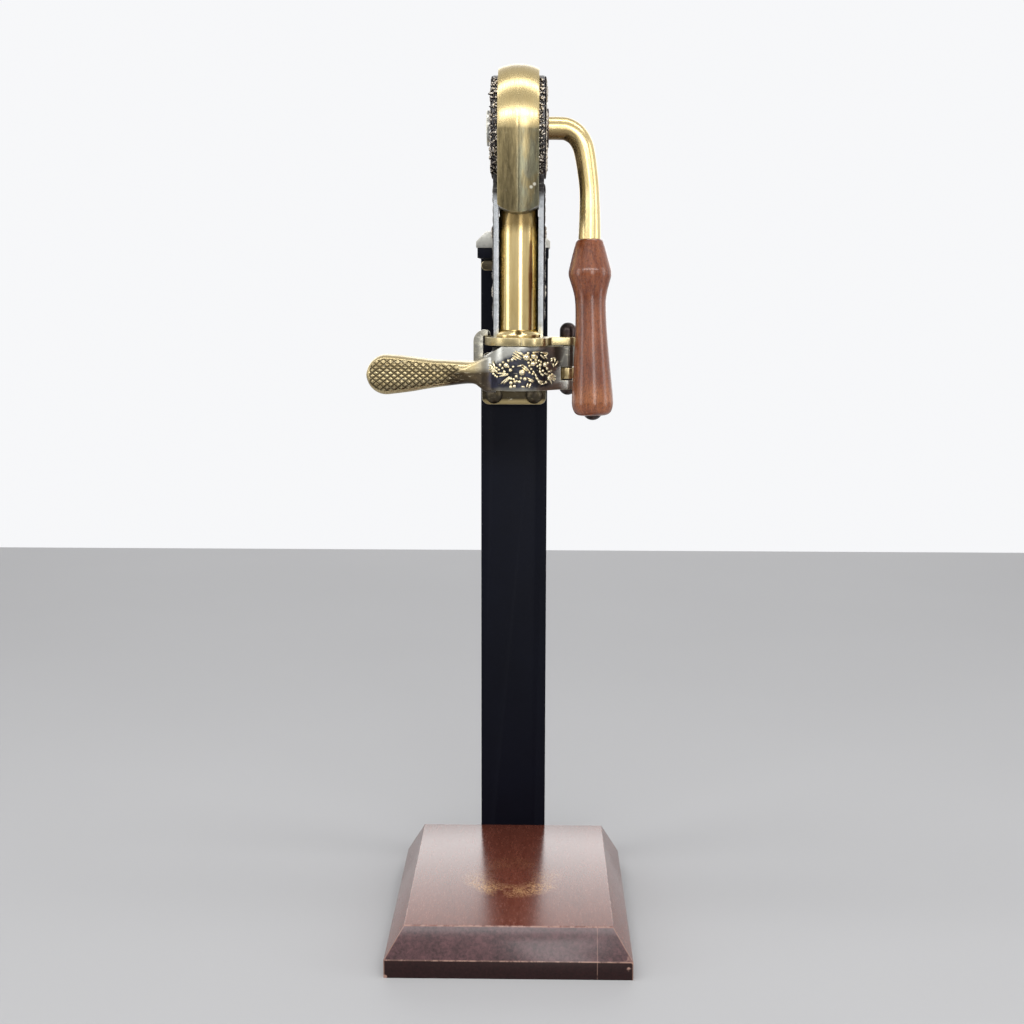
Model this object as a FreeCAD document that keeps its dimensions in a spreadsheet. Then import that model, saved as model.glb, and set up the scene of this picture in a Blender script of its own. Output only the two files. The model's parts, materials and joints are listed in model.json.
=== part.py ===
import FreeCAD, Part
import Sketcher
import math
import os

# Counter mount corkscrew on a wooden stand.
# Millimetres, +Z up. The origin is the centre of the board's underside, straight below the barrel's
# depth; +X is the lever's side and +Y points to the post behind the board.

Vector = FreeCAD.Vector
Rotation = FreeCAD.Rotation
xAxis = Vector(1, 0, 0)
yAxis = Vector(0, 1, 0)
zAxis = Vector(0, 0, 1)

driving = {
    # board
    "base_width": 152.4,
    "base_depth": 179.6,
    "base_height": 30.6,
    "base_edge_height": 11.5,
    "bevel_run_side": 12.2,
    "bevel_run_front": 8.6,
    # post bar and its ledge, whose top carries the opener
    "post_width": 45.8,
    "post_thickness": 6.4,
    "post_bend_radius": 3.6,
    "ledge_top": 441.8,
    "ledge_reach": 62.0,
    "ledge_gap": 2.2,
    "base_screw_shank": 5.0,
    "base_screw_head": 10.0,
    "base_screw_head_height": 3.4,
    "base_screw_length": 38.0,
    "base_screw_spacing": 26.0,
    "base_screw_height": 15.0,
    # opener as a whole
    "head_shift": 4.0,
    "fit": 0.05,
    "slack": 0.3,
    "overlap": 1.0,
    # barrel and jaw plate
    "barrel_outer": 24.0,
    "barrel_bore": 21.0,
    "collar_outer": 31.0,
    "collar_height": 4.6,
    "collar_edge": 1.6,
    "collar_flare": 0.4,
    "plate_bottom": 60.8,  # below the ledge's top
    "plate_thickness": 5.0,
    "plate_radius": 21.3,
    "plate_bore": 9.8,
    "plate_lobe": 10.0,
    "plate_lobe_x": 9.0,
    "plate_lobe_y": 14.0,
    "hinge_lobe": 7.5,
    # gear case
    "pivot_height": 70.8,  # above the ledge's top
    "pivot_forward": 11.0,
    "case_bottom": 51.6,  # below the pivot
    "case_rise": 4.6,
    "case_half_width": 12.3,
    "case_crown": 37.7,
    "case_edge": 35.2,
    "case_wall": 2.2,
    "case_side_wall": 2.0,
    "case_floor": 46.0,  # below the pivot
    # side frames
    "frame_thickness": 3.2,
    "frame_disc": 31.0,
    "frame_front": 7.0,
    "frame_back": 25.6,
    "frame_shoulder": 42.6,  # below the pivot
    "frame_cheek_step": 9.0,
    "frame_hip_step": 2.0,
    "frame_hip_drop": 8.0,
    "frame_screw": 4.0,
    "frame_screw_head": 7.0,
    "frame_screw_head_height": 1.2,
    "frame_screw_length": 9.0,
    "frame_screw_low": 26.0,  # above the plate
    "frame_screw_high": 48.0,
    "frame_screw_depth": 19.0,
    # spine, foot, arm and flange
    "spine_front": 12.4,
    "spine_gap": 0.2,
    "plate_screw_spacing": 14.0,
    "plate_screw_length": 13.0,
    "foot_half_width": 23.8,
    "foot_top_half_width": 17.5,
    "foot_edge_height": 4.0,
    "foot_height": 10.2,
    "foot_setback": 5.8,
    "arm_bottom": 6.0,  # above the plate
    "arm_height": 14.0,
    "arm_half_width": 9.0,
    "flange_half_width": 22.1,
    "flange_bottom": 44.6,  # below the plate
    "flange_height": 35.6,
    "flange_thickness": 5.0,
    "flange_corner": 5.0,
    "flange_stem_half_width": 11.0,
    "flange_screw_head": 12.0,
    "flange_screw_head_height": 4.2,
    "flange_screw_shank": 5.0,
    "flange_screw_spacing": 27.6,
    "flange_screw_height": 6.4,  # above the flange's bottom
    # clamp under the ledge
    "clamp_half_width": 20.8,
    "clamp_thickness": 6.5,
    "clamp_depth": 46.0,
    "clamp_pad_thickness": 1.5,
    "clamp_pad_inset": 1.5,
    "clamp_centre": 56.0,
    "clamp_screw": 8.0,
    "clamp_head_height": 6.0,
    "clamp_head_flats": 13.0,
    "clamp_head_gap": 6.0,
    # lever
    "lever_tilt": 4.0,
    "lever_lean": 1.5,
    "lever_offset": 43.5,
    "elbow_x": 35.0,
    "elbow_drop": 4.0,
    "shoulder_x": 40.2,
    "shoulder_drop": 16.0,
    "waist_x": 43.2,
    "waist_drop": 37.5,
    "arm_root_diameter": 13.7,
    "arm_elbow_diameter": 13.3,
    "arm_waist_diameter": 12.1,
    "arm_end_diameter": 13.7,
    "arm_sag": 0.3,
    "grip_top": 66.9,
    "grip_length": 107.6,
    "grip_top_diameter": 14.9,
    "grip_shoulder_drop": 3.2,
    "grip_bulge_diameter": 26.4,
    "grip_bulge_drop": 20.6,
    "grip_neck_diameter": 18.9,
    "grip_neck_drop": 42.0,
    "grip_foot_diameter": 25.5,
    "grip_foot_drop": 8.6,  # from the widest place of the foot to the end
    "grip_end_step": 2.3,
    "grip_end_rise": 1.2,
    "grip_waist_step": 0.3,
    "grip_waist_drop": 13.0,
    "grip_collar_step": 1.05,
    "grip_collar_rise": 11.0,
    "grip_bulge_low_step": 0.75,
    "grip_bulge_low": 3.6,
    "grip_bulge_high_step": 0.6,
    "grip_bulge_high": 3.2,
    "grip_shoulder_step": 1.65,
    "grip_end_arc": 13.0,
    "grip_foot_arc": 8.0,
    "grip_waist_arc": 300.0,
    "grip_neck_arc": 60.0,
    "grip_bulge_arc": 8.4,
    "grip_shoulder_arc": 5.0,
    "tang_diameter": 7.0,
    "grip_nut_diameter": 10.4,
    "grip_nut_height": 2.8,
    "shaft_diameter": 9.0,
    "shaft_into_arm": 12.0,
    "bush_outer": 12.0,
    "cap_diameter": 21.4,
    "cap_thickness": 4.2,
    "cap_edge": 3.6,
    "washer_diameter": 23.4,
    "washer_thickness": 2.4,
    # gears: the drive gear turns the lay wheel, and the lay pinion drives the rack
    "gear_module": 1.2,
    "drive_teeth": 44,
    "lay_teeth": 20,
    "gear_width": 5.6,
    "gear_offset": 4.4,
    "rack_module": 1.25,
    "pinion_teeth": 13,
    "rack_pitch_line": 2.0,
    "backlash": 0.16,
    "pressure_angle": 20.0,
    "tooth_root": 1.25,
    "lay_shaft": 6.0,
    "lay_shaft_inset": 0.5,
    "key_side": 3.0,
    # rack and carriage
    "rack_left": 5.0,
    "rack_width": 4.5,
    "rack_back": 3.6,
    "rack_overrun_low": 6.2,
    "rack_overrun_high": 5.2,
    "lever_swing": 180.0,
    "carriage_bottom": 3.6,  # below the pivot
    "carriage_height": 8.0,
    "carriage_left": 4.1,
    "carriage_front": 5.2,
    "carriage_back": 4.6,
    "rack_screw": 2.5,
    "rack_screw_inset": 2.0,
    "rack_screw_grip": 1.8,
    "rack_screw_y": 1.6,
    # spindle and worm
    "spindle_diameter": 7.6,
    "journal_diameter": 5.0,
    "journal_ring_diameter": 7.2,
    "journal_ring_height": 3.0,
    "spindle_nut_bottom": 65.0,  # below the carriage
    "spindle_nut_height": 8.0,
    "worm_guide_height": 6.0,
    "worm_guide_bore": 9.8,
    "worm_tip": 2.5,  # above the plate
    "worm_wire": 3.2,
    "worm_outer": 9.0,
    "worm_pitch": 9.5,
    "worm_turns": 5.0,
    "worm_point": 0.5,
    "worm_hub_height": 6.0,
    "worm_hub_overlap": 2.0,
    "worm_hub_edge": 0.1,
    # jaws
    "neck_bore": 29.0,
    "liner_thickness": 2.0,
    "liner_inset": 1.0,
    "liner_parting": 0.4,
    "jaw_outer": 45.0,
    "jaw_height": 27.2,
    "jaw_gap": 0.4,
    "jaw_parting": 1.0,
    "jaw_shoulder_y": 17.55,
    "knuckle_radius": 6.5,
    "knuckle_step": 0.13,
    "knuckle_clear": 0.1,
    "hinge_x": 31.3,
    "hinge_y": 3.0,
    "knuckle_height": 6.9,
    "window_left": 26.7,
    "window_height": 8.6,
    "window_drop": 3.6,
    "grip_root_x": 28.0,
    "grip_depth": 12.0,
    "jaw_chamfer_x": 10.3,
    "jaw_chamfer_slope": 0.64,
    "jaw_scoop_x": 18.3,
    "jaw_scoop_slope": 0.46,
    "paddle_x": 83.2,
    "paddle_radius": 12.4,
    "paddle_drop": 18.3,
    "paddle_neck_x": 54.0,
    "paddle_neck_half": 8.9,
    "paddle_root_half": 7.1,
    "paddle_root_rise": 10.472,
    "paddle_rounding": 4.4,
    "paddle_inset": 0.4,
    "paddle_root_overlap": 6.0,
    "paddle_root_step": 1.0,
    "hook_left": 28.4,
    "hook_thickness": 6.0,
    "hook_top_thickness": 4.0,
    "hook_depth": 6.5,
    "hook_reach": 10.6,
    "hook_clearance": 0.4,
    "hook_bend": 7.3,
    "hook_end_corner": 3.0,
    "hook_root_length": 8.0,
    "hook_root_half": 4.0,
    "hinge_pin": 6.0,
    "hinge_head_diameter": 10.6,
    "hinge_head_height": 9.0,
    "hinge_nut_height": 3.6,
}

os.makedirs("parts", exist_ok=True)
doc = FreeCAD.newDocument("corkscrew")
sheet = doc.addObject("Spreadsheet::Sheet", "sizes")


class Size:
    """A length that carries its number and the text that binds it to the sheet."""

    def __init__(self, number, text):
        self.number = number
        self.text = text

    def mix(self, other, sign, result, swapped=False):
        text = other.text if isinstance(other, Size) else repr(float(other))
        first, second = (text, self.text) if swapped else (self.text, text)
        return Size(result, "(%s %s %s)" % (first, sign, second))

    def __add__(self, other):
        return self.mix(other, "+", self.number + plain(other))

    def __radd__(self, other):
        return self.mix(other, "+", plain(other) + self.number, True)

    def __sub__(self, other):
        return self.mix(other, "-", self.number - plain(other))

    def __rsub__(self, other):
        return self.mix(other, "-", plain(other) - self.number, True)

    def __mul__(self, other):
        return self.mix(other, "*", self.number * plain(other))

    def __rmul__(self, other):
        return self.mix(other, "*", plain(other) * self.number, True)

    def __truediv__(self, other):
        return self.mix(other, "/", self.number / plain(other))

    def __neg__(self):
        return Size(-self.number, "(0 - %s)" % self.text)


def plain(value):
    return value.number if isinstance(value, Size) else float(value)


def root(value):
    return Size(math.sqrt(value.number), "sqrt(%s)" % value.text)


def bind(thing, prop, value):
    if isinstance(value, Size):
        thing.setExpression(prop, value.text)
    else:
        setattr(thing, prop, value)


class Sizes:
    pass


size = Sizes()
zero = Size(0.0, "0")
for row, (alias, number) in enumerate(driving.items(), 1):
    sheet.set("A%d" % row, alias)
    sheet.set("B%d" % row, str(number))
    sheet.setAlias("B%d" % row, alias)
    setattr(size, alias, Size(float(number), "sizes." + alias))
doc.recompute()


def place(thing, x, y, z):
    for letter, value in zip("xyz", (x, y, z)):
        if isinstance(value, Size):
            thing.setExpression("Placement.Base." + letter, value.text)
        elif value:
            thing.setExpression("Placement.Base." + letter, repr(float(value)))
    return thing


def block(name, x0, x1, y0, y1, z0, z1):
    box = doc.addObject("Part::Box", name)
    bind(box, "Length", x1 - x0)
    bind(box, "Width", y1 - y0)
    bind(box, "Height", z1 - z0)
    return place(box, x0, y0, z0)


turns = {"z": Rotation(), "x": Rotation(yAxis, 90), "y": Rotation(xAxis, -90)}


def rod(name, radius, length, x, y, z, along="z"):
    cylinder = doc.addObject("Part::Cylinder", name)
    bind(cylinder, "Radius", radius)
    bind(cylinder, "Height", length)
    cylinder.Placement.Rotation = turns[along]
    return place(cylinder, x, y, z)


def cone(name, radius1, radius2, length, x, y, z, along="z"):
    shape = doc.addObject("Part::Cone", name)
    bind(shape, "Radius1", radius1)
    bind(shape, "Radius2", radius2)
    bind(shape, "Height", length)
    shape.Placement.Rotation = turns[along]
    return place(shape, x, y, z)


def fuse(name, *shapes):
    joined = doc.addObject("Part::MultiFuse", name)
    joined.Shapes = list(shapes)
    return joined


def cut(name, base, *tools):
    result = doc.addObject("Part::Cut", name)
    result.Base = base
    result.Tool = tools[0] if len(tools) == 1 else fuse(name + "_tools", *tools)
    return result


def common(name, first, second):
    result = doc.addObject("Part::Common", name)
    result.Base = first
    result.Tool = second
    return result


def body(name):
    return doc.addObject("PartDesign::Body", name)


def draw(owner, name, role, path):
    """Closed outline. A corner is (x, y), or (x, y, radius, turn) when an arc leads to it."""
    sketch = owner.newObject("Sketcher::SketchObject", name)
    plane = [item for item in owner.Origin.OriginFeatures if item.Role == role][0]
    sketch.AttachmentSupport = (plane, [""])
    sketch.MapMode = "FlatFace"
    for index, corner in enumerate(path):
        before = path[index - 1]
        start = Vector(plain(before[0]), plain(before[1]), 0)
        end = Vector(plain(corner[0]), plain(corner[1]), 0)
        if len(corner) == 2:
            sketch.addGeometry(Part.LineSegment(start, end), False)
            continue
        radius = plain(corner[2])
        chord = end - start
        side = Vector(-chord.y, chord.x, 0).normalize()
        reach = math.sqrt(max(radius * radius - chord.Length ** 2 / 4, 0))
        sense = 1 if corner[3] == "left" else -1
        centre = start + chord * 0.5 + side * reach * sense
        middle = start + chord * 0.5 - side * (radius - reach) * sense
        sketch.addGeometry(Part.Arc(start, middle, end), False)
    count = len(path)
    for index, corner in enumerate(path):
        following = (index + 1) % count
        ends = (index, end_of(path, index), following, start_of(path, following))
        sketch.addConstraint(Sketcher.Constraint("Coincident", *ends))
        for kind, value in (("DistanceX", corner[0]), ("DistanceY", corner[1])):
            constraint = Sketcher.Constraint(kind, -1, 1, index, end_of(path, index), plain(value))
            place_in_sketch = sketch.addConstraint(constraint)
            if isinstance(value, Size):
                sketch.setExpression("Constraints[%d]" % place_in_sketch, value.text)
        if len(corner) == 4:
            number = sketch.addConstraint(Sketcher.Constraint("Radius", index, plain(corner[2])))
            if isinstance(corner[2], Size):
                sketch.setExpression("Constraints[%d]" % number, corner[2].text)
    return sketch


def end_of(path, index):
    """Sketcher keeps every arc anticlockwise, so an arc that turns right is stored from its end."""
    corner = path[index]
    return 1 if len(corner) == 4 and corner[3] == "right" else 2


def start_of(path, index):
    return 3 - end_of(path, index)


def pad(owner, name, sketch, length, reverse=False, midplane=False):
    feature = owner.newObject("PartDesign::Pad", name)
    feature.Profile = sketch
    bind(feature, "Length", length)
    feature.Reversed = reverse
    feature.Midplane = midplane
    return feature


def pocket(owner, name, sketch, length, reverse=False, midplane=False):
    feature = owner.newObject("PartDesign::Pocket", name)
    feature.Profile = sketch
    bind(feature, "Length", length)
    feature.Reversed = reverse
    feature.Midplane = midplane
    return feature


def revolve(owner, name, sketch, axis, angle=360.0, kind="PartDesign::Revolution", reverse=False):
    feature = owner.newObject(kind, name)
    feature.Profile = sketch
    feature.ReferenceAxis = (sketch, [axis])
    feature.Angle = angle
    feature.Reversed = reverse
    return feature


aims = {
    "z": (Rotation(), Rotation(xAxis, 180)),
    "x": (Rotation(yAxis, 90), Rotation(yAxis, -90)),
    "y": (Rotation(xAxis, -90), Rotation(xAxis, 90)),
}


def dome(name, radius, height, x, y, z, along="z", down=False):
    """Cap of a sphere that stands on a circle of the radius given, pointing along or against an axis."""
    cap = body(name)
    ball = (radius * radius + height * height) / (height * 2)
    profile = [(zero, zero), (radius, zero), (zero, height, ball, "left")]
    revolve(cap, name + "_turning", draw(cap, name + "_profile", "XZ_Plane", profile), "V_Axis")
    cap.Placement.Rotation = aims[along][down]
    return place(cap, x, y, z)


nodes = {}


def keep(node, thing):
    thing.Label = node
    nodes[node] = thing
    return thing


# Places that several pieces share
s = size
over = s.overlap
ledge_front = s.frame_back + s.ledge_gap
back_face = ledge_front + s.ledge_reach
head_x = s.head_shift
plate_bottom = s.ledge_top - s.plate_bottom
plate_top = plate_bottom + s.plate_thickness
pivot_z = s.ledge_top + s.pivot_height
case_bottom = pivot_z - s.case_bottom
case_floor = pivot_z - s.case_floor
arm_bottom = plate_top + s.arm_bottom
flange_bottom = plate_bottom - s.flange_bottom
flange_screw_z = flange_bottom + s.flange_screw_height
frame_screw_heights = (plate_top + s.frame_screw_low, plate_top + s.frame_screw_high)
carriage_bottom = pivot_z - s.carriage_bottom
nut_bottom = carriage_bottom - s.spindle_nut_bottom
worm_tip = plate_top + s.worm_tip
pivot_y = -s.pivot_forward
case_left = head_x - s.case_half_width
case_right = head_x + s.case_half_width
frame_out = s.case_half_width + s.frame_thickness
ledge_bottom = s.ledge_top - s.post_thickness
hinge_x = head_x + s.hinge_x
jaw_top = plate_bottom - s.jaw_gap
jaw_bottom = jaw_top - s.jaw_height
jaw_middle = jaw_bottom + s.jaw_height / 2
gear_left = head_x - s.gear_offset - s.gear_width
gear_right = head_x - s.gear_offset

# Board: a block with sloping front and sides, square at the back
board_front = back_face - s.base_depth
lower = block("board_foot", -s.base_width / 2, s.base_width / 2, board_front, back_face, zero,
              s.base_edge_height)
slope = doc.addObject("Part::Wedge", "board_slope")
bind(slope, "Xmin", -s.base_width / 2)
bind(slope, "Xmax", s.base_width / 2)
bind(slope, "Ymin", s.base_edge_height)
bind(slope, "Ymax", s.base_height)
bind(slope, "Zmin", -back_face)
bind(slope, "Zmax", -board_front)
bind(slope, "X2min", -s.base_width / 2 + s.bevel_run_side)
bind(slope, "X2max", s.base_width / 2 - s.bevel_run_side)
bind(slope, "Z2min", -back_face)
bind(slope, "Z2max", -board_front - s.bevel_run_front)
slope.Placement.Rotation = Rotation(xAxis, 90)
board = fuse("board", lower, slope)


def pair_of_screws(name, shank, head, head_height, length, spacing, height, face_y, forward):
    """Two screws along Y; forward screws point to -Y with their heads behind face_y."""
    screws = []
    for side in (-1, 1):
        x = spacing * (side / 2)
        start_y = face_y - length if forward else face_y
        stem = rod("%s_stem" % name, shank / 2, length, x, start_y, height, "y")
        cap = dome("%s_head" % name, head / 2, head_height, x, face_y, height, "y", down=not forward)
        screws.append(fuse("%s_one" % name, stem, cap))
    return fuse(name, *screws)


post_back = back_face + s.post_thickness
base_screws = pair_of_screws("base_screws", s.base_screw_shank, s.base_screw_head, s.base_screw_head_height,
                             s.base_screw_length, s.base_screw_spacing, s.base_screw_height, post_back, True)
keep("base_screws", base_screws)


def screw_holes(name, shank, spacing, height, y, length):
    holes = []
    for side in (-1, 1):
        holes.append(rod(name + "_hole", shank / 2, length, spacing * (side / 2), y, height, "y"))
    return holes


base_holes = screw_holes("board_screw", s.base_screw_shank, s.base_screw_spacing, s.base_screw_height,
                         post_back - s.base_screw_length, s.base_screw_length + over)
keep("wooden_base", cut("wooden_base", board, *base_holes))

# Post bar: flat bar with its top bent forward into a ledge
post = body("post_profile")
outer_bend = s.post_bend_radius + s.post_thickness
post_sketch = draw(post, "post_side", "YZ_Plane", [
    (back_face, zero),
    (post_back, zero),
    (post_back, s.ledge_top - outer_bend),
    (post_back - outer_bend, s.ledge_top, outer_bend, "left"),
    (ledge_front, s.ledge_top),
    (ledge_front, ledge_bottom),
    (back_face - s.post_bend_radius, ledge_bottom),
    (back_face, ledge_bottom - s.post_bend_radius, s.post_bend_radius, "right"),
])
pad(post, "post_width_pad", post_sketch, s.post_width, midplane=True)
flange_holes = screw_holes("post_flange_screw", s.flange_screw_shank, s.flange_screw_spacing,
                           flange_screw_z, back_face - over, s.post_thickness + over * 2)
post_base_holes = screw_holes("post_base_screw", s.base_screw_shank, s.base_screw_spacing,
                              s.base_screw_height, back_face - over, s.post_thickness + over * 2)
keep("post_bar", cut("post_bar", post, *flange_holes, *post_base_holes))

# Frame casting: spine behind the barrel, foot on the ledge, lower arm and flange on the post
spine = block("spine", case_left, case_right, s.spine_front, s.frame_back, plate_top,
              case_bottom - s.spine_gap)
foot_back = back_face - s.foot_setback
foot = body("foot_profile")
foot_top = s.ledge_top + s.foot_height
foot_sketch = draw(foot, "foot_section", "XZ_Plane", [
    (-s.foot_half_width, s.ledge_top),
    (s.foot_half_width, s.ledge_top),
    (s.foot_half_width, s.ledge_top + s.foot_edge_height),
    (s.foot_top_half_width, foot_top),
    (-s.foot_top_half_width, foot_top),
    (-s.foot_half_width, s.ledge_top + s.foot_edge_height),
])
pad(foot, "foot_pad", foot_sketch, foot_back - ledge_front, reverse=True)
place(foot, 0, ledge_front, 0)
foot_neck = block("foot_neck", case_left, case_right, s.frame_back - over, ledge_front + over,
                  s.ledge_top, foot_top)
arm_top = arm_bottom + s.arm_height
lower_arm = block("lower_arm", head_x - s.arm_half_width, head_x + s.arm_half_width, s.frame_back - over,
                  back_face - s.flange_thickness / 2, arm_bottom, arm_top)
flange = body("flange_profile")
wide = s.flange_half_width
corner = s.flange_corner
flange_top = flange_bottom + s.flange_height
flange_sketch = draw(flange, "flange_face", "XZ_Plane", [
    (-wide + corner, flange_bottom, corner, "left"),
    (wide - corner, flange_bottom),
    (wide, flange_bottom + corner, corner, "left"),
    (wide, flange_top - corner),
    (wide - corner, flange_top, corner, "left"),
    (head_x + s.flange_stem_half_width, flange_top),
    (head_x + s.flange_stem_half_width, arm_top),
    (head_x - s.flange_stem_half_width, arm_top),
    (head_x - s.flange_stem_half_width, flange_top),
    (-wide + corner, flange_top),
    (-wide, flange_top - corner, corner, "left"),
    (-wide, flange_bottom + corner),
])
pad(flange, "flange_pad", flange_sketch, s.flange_thickness)
place(flange, 0, back_face, 0)
casting = fuse("casting", spine, foot, foot_neck, lower_arm, flange)
clamp_hole = rod("clamp_hole", s.clamp_screw / 2 + s.fit, s.arm_height + over * 2, head_x,
                 s.clamp_centre, arm_bottom - over)
casting_holes = screw_holes("casting_flange_screw", s.flange_screw_shank, s.flange_screw_spacing,
                            flange_screw_z, back_face - s.flange_thickness - over,
                            s.flange_thickness + over * 2)


stem_start = frame_out - s.frame_screw_length


def side_stem(name, side, height):
    """Stem of a screw that holds a side frame, along X."""
    x = head_x + stem_start if side > 0 else head_x - frame_out
    return rod(name, s.frame_screw / 2, s.frame_screw_length, x, s.frame_screw_depth, height, "x")


frame_holes = [side_stem("frame_screw_hole", side, height)
               for side in (-1, 1) for height in frame_screw_heights]
plate_screw_y = (s.spine_front + s.plate_radius) / 2
plate_holes = []
plate_screw_list = []
for side in (-1, 1):
    x = head_x + s.plate_screw_spacing * (side / 2)
    plate_holes.append(rod("plate_screw_hole", s.frame_screw / 2, s.plate_screw_length + over * 2, x,
                           plate_screw_y, plate_bottom))
    plate_screw_list.append(rod("plate_screw_stem", s.frame_screw / 2, s.plate_screw_length, x,
                                plate_screw_y, plate_bottom))
keep("frame_casting", cut("frame_casting", casting, clamp_hole, *casting_holes, *frame_holes, *plate_holes))
keep("plate_screws", fuse("plate_screws", *plate_screw_list))

flange_screws = pair_of_screws("flange_screws", s.flange_screw_shank, s.flange_screw_head,
                               s.flange_screw_head_height, s.flange_thickness + s.post_thickness,
                               s.flange_screw_spacing, flange_screw_z,
                               back_face - s.flange_thickness, False)
keep("flange_screws", flange_screws)

# Clamp under the ledge
pad_bottom = ledge_bottom - s.clamp_pad_thickness
clamp_bottom = pad_bottom - s.clamp_thickness
clamp_front = s.clamp_centre - s.clamp_depth / 2
clamp_back = s.clamp_centre + s.clamp_depth / 2
pad_half = s.clamp_half_width - s.clamp_pad_inset
keep("clamp_pad", block("clamp_pad", -pad_half, pad_half, clamp_front + s.clamp_pad_inset,
                        clamp_back - s.clamp_pad_inset, pad_bottom, ledge_bottom))
half = s.clamp_thickness / 2
clamp_flat = block("clamp_flat", -s.clamp_half_width + half, s.clamp_half_width - half, clamp_front,
                   clamp_back, clamp_bottom, pad_bottom)
clamp_ends = [rod("clamp_end", half, s.clamp_depth, x, clamp_front, clamp_bottom + half, "y")
              for x in (-s.clamp_half_width + half, s.clamp_half_width - half)]
keep("clamp_plate", fuse("clamp_plate", clamp_flat, *clamp_ends))
clamp_head_top = arm_bottom - s.clamp_head_gap
clamp_stem = rod("clamp_stem", s.clamp_screw / 2, clamp_bottom - clamp_head_top, head_x, s.clamp_centre,
                 clamp_head_top)
hexagon = doc.addObject("Part::Prism", "clamp_head")
hexagon.Polygon = 6
bind(hexagon, "Circumradius", s.clamp_head_flats / root(Size(3.0, "3")))
bind(hexagon, "Height", s.clamp_head_height)
place(hexagon, head_x, s.clamp_centre, clamp_head_top - s.clamp_head_height)
keep("clamp_screw", fuse("clamp_screw", clamp_stem, hexagon))

# Gear case: two halves that meet on the middle plane
case_reach = (s.case_crown + s.pivot_forward) * 3
smile_radius = (s.case_half_width * s.case_half_width + s.case_rise * s.case_rise) / (s.case_rise * 2)
crown_rise = s.case_crown - s.case_edge
crown_radius = (s.case_half_width * s.case_half_width + crown_rise * crown_rise) / (crown_rise * 2)
lay_y = s.rack_pitch_line + s.rack_module * s.pinion_teeth / 2
centre_distance = s.gear_module * (s.drive_teeth + s.lay_teeth) / 2
lay_back = lay_y - pivot_y
lay_z = pivot_z - root(centre_distance * centre_distance - lay_back * lay_back)


def case_half(node, side):
    """side is 1 for the right half; the left half is its mirror image."""
    half_case = body(node + "_shell")
    turn_a, turn_b = ("left", "left") if side > 0 else ("right", "right")
    edge_x = s.case_half_width * side
    section = [
        (zero, -s.case_crown),
        (edge_x, -s.case_edge, crown_radius, turn_a),
        (edge_x, s.case_edge),
        (zero, s.case_crown, crown_radius, turn_b),
    ]
    pad(half_case, node + "_walls", draw(half_case, node + "_section", "XY_Plane", section), s.case_bottom,
        reverse=True)
    front_half = [
        (zero, -s.case_crown),
        (edge_x, -s.case_edge, crown_radius, turn_a),
        (edge_x, zero),
        (zero, zero),
    ]
    front = draw(half_case, node + "_front", "XY_Plane", front_half)
    revolve(half_case, node + "_round", front, "H_Axis", 180.0, reverse=True)
    inner_x = (s.case_half_width - s.case_side_wall) * side
    inner_y = s.case_edge - s.case_wall
    room = [(zero, -inner_y), (inner_x, -inner_y), (inner_x, inner_y), (zero, inner_y)]
    pocket(half_case, node + "_room", draw(half_case, node + "_room_plan", "XY_Plane", room),
           s.case_floor)
    room_front = [(zero, -inner_y), (inner_x, -inner_y), (inner_x, zero), (zero, zero)]
    dome_room = draw(half_case, node + "_room_front", "XY_Plane", room_front)
    revolve(half_case, node + "_round_room", dome_room, "H_Axis", 180.0, "PartDesign::Groove", reverse=True)
    place(half_case, head_x, pivot_y, pivot_z)
    smile_top = case_bottom + s.case_rise
    smile = body(node + "_smile")
    smile_path = [
        (zero, case_bottom),
        (edge_x, smile_top, smile_radius, turn_a),
        (edge_x + over * side, smile_top),
        (edge_x + over * side, case_bottom - over),
        (zero, case_bottom - over),
    ]
    pad(smile, node + "_smile_pad", draw(smile, node + "_smile_path", "XZ_Plane", smile_path), case_reach,
        midplane=True)
    place(smile, head_x, 0, 0)
    bores = (("pivot", s.bush_outer / 2, pivot_y, pivot_z), ("lay", s.lay_shaft / 2 + s.fit, lay_y, lay_z))
    holes = []
    for label, radius, y, z in bores:
        wall = case_right - s.case_side_wall if side > 0 else case_left
        holes.append(rod(node + "_" + label, radius, s.case_side_wall + over * 2, wall - over, y, z, "x"))
    barrel_way = rod(node + "_barrel_way", s.barrel_outer / 2, case_floor - case_bottom + over * 2, head_x,
                     zero, case_bottom - over)
    if side < 0:
        wheel_radius = s.gear_module * (s.lay_teeth / 2 + 1) + s.slack
        holes.append(rod("wheel_way", wheel_radius, s.gear_width + s.slack * 2, gear_left - s.slack, lay_y,
                         lay_z, "x"))
    return keep(node, cut(node, half_case, smile, barrel_way, *holes))


case_half("gear_case_left", -1)
case_half("gear_case_right", 1)

# Barrel, its flared foot and the plate above the jaws
barrel_top = case_floor
barrel_skin = rod("barrel_skin", s.barrel_outer / 2, barrel_top - plate_top, head_x, zero, plate_top)
barrel_hollow = rod("barrel_hollow", s.barrel_bore / 2, barrel_top - plate_top + over * 2, head_x, zero,
                    plate_top - over)
keep("barrel_tube", cut("barrel_tube", barrel_skin, barrel_hollow))
collar_foot = rod("collar_foot", s.collar_outer / 2, s.collar_edge, head_x, zero, plate_top)
collar_flare = cone("collar_flare", s.collar_outer / 2, s.barrel_outer / 2 + s.collar_flare,
                    s.collar_height - s.collar_edge, head_x, zero, plate_top + s.collar_edge)
collar_hole = rod("collar_hole", s.barrel_outer / 2, s.collar_height + over * 2, head_x, zero,
                  plate_top - over)
collar_back = block("collar_back", case_left - over, case_right + over, s.spine_front, s.frame_back,
                    plate_top, plate_top + s.collar_height + over)
collar_sides = []
for side in (-1, 1):
    near = head_x + s.case_half_width * side
    far = head_x + frame_out * side
    low, high = (near, far) if side > 0 else (far, near)
    collar_sides.append(block("collar_side", low, high, -s.frame_front - s.slack, s.frame_back, plate_top,
                              plate_top + s.collar_height + over))
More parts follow.
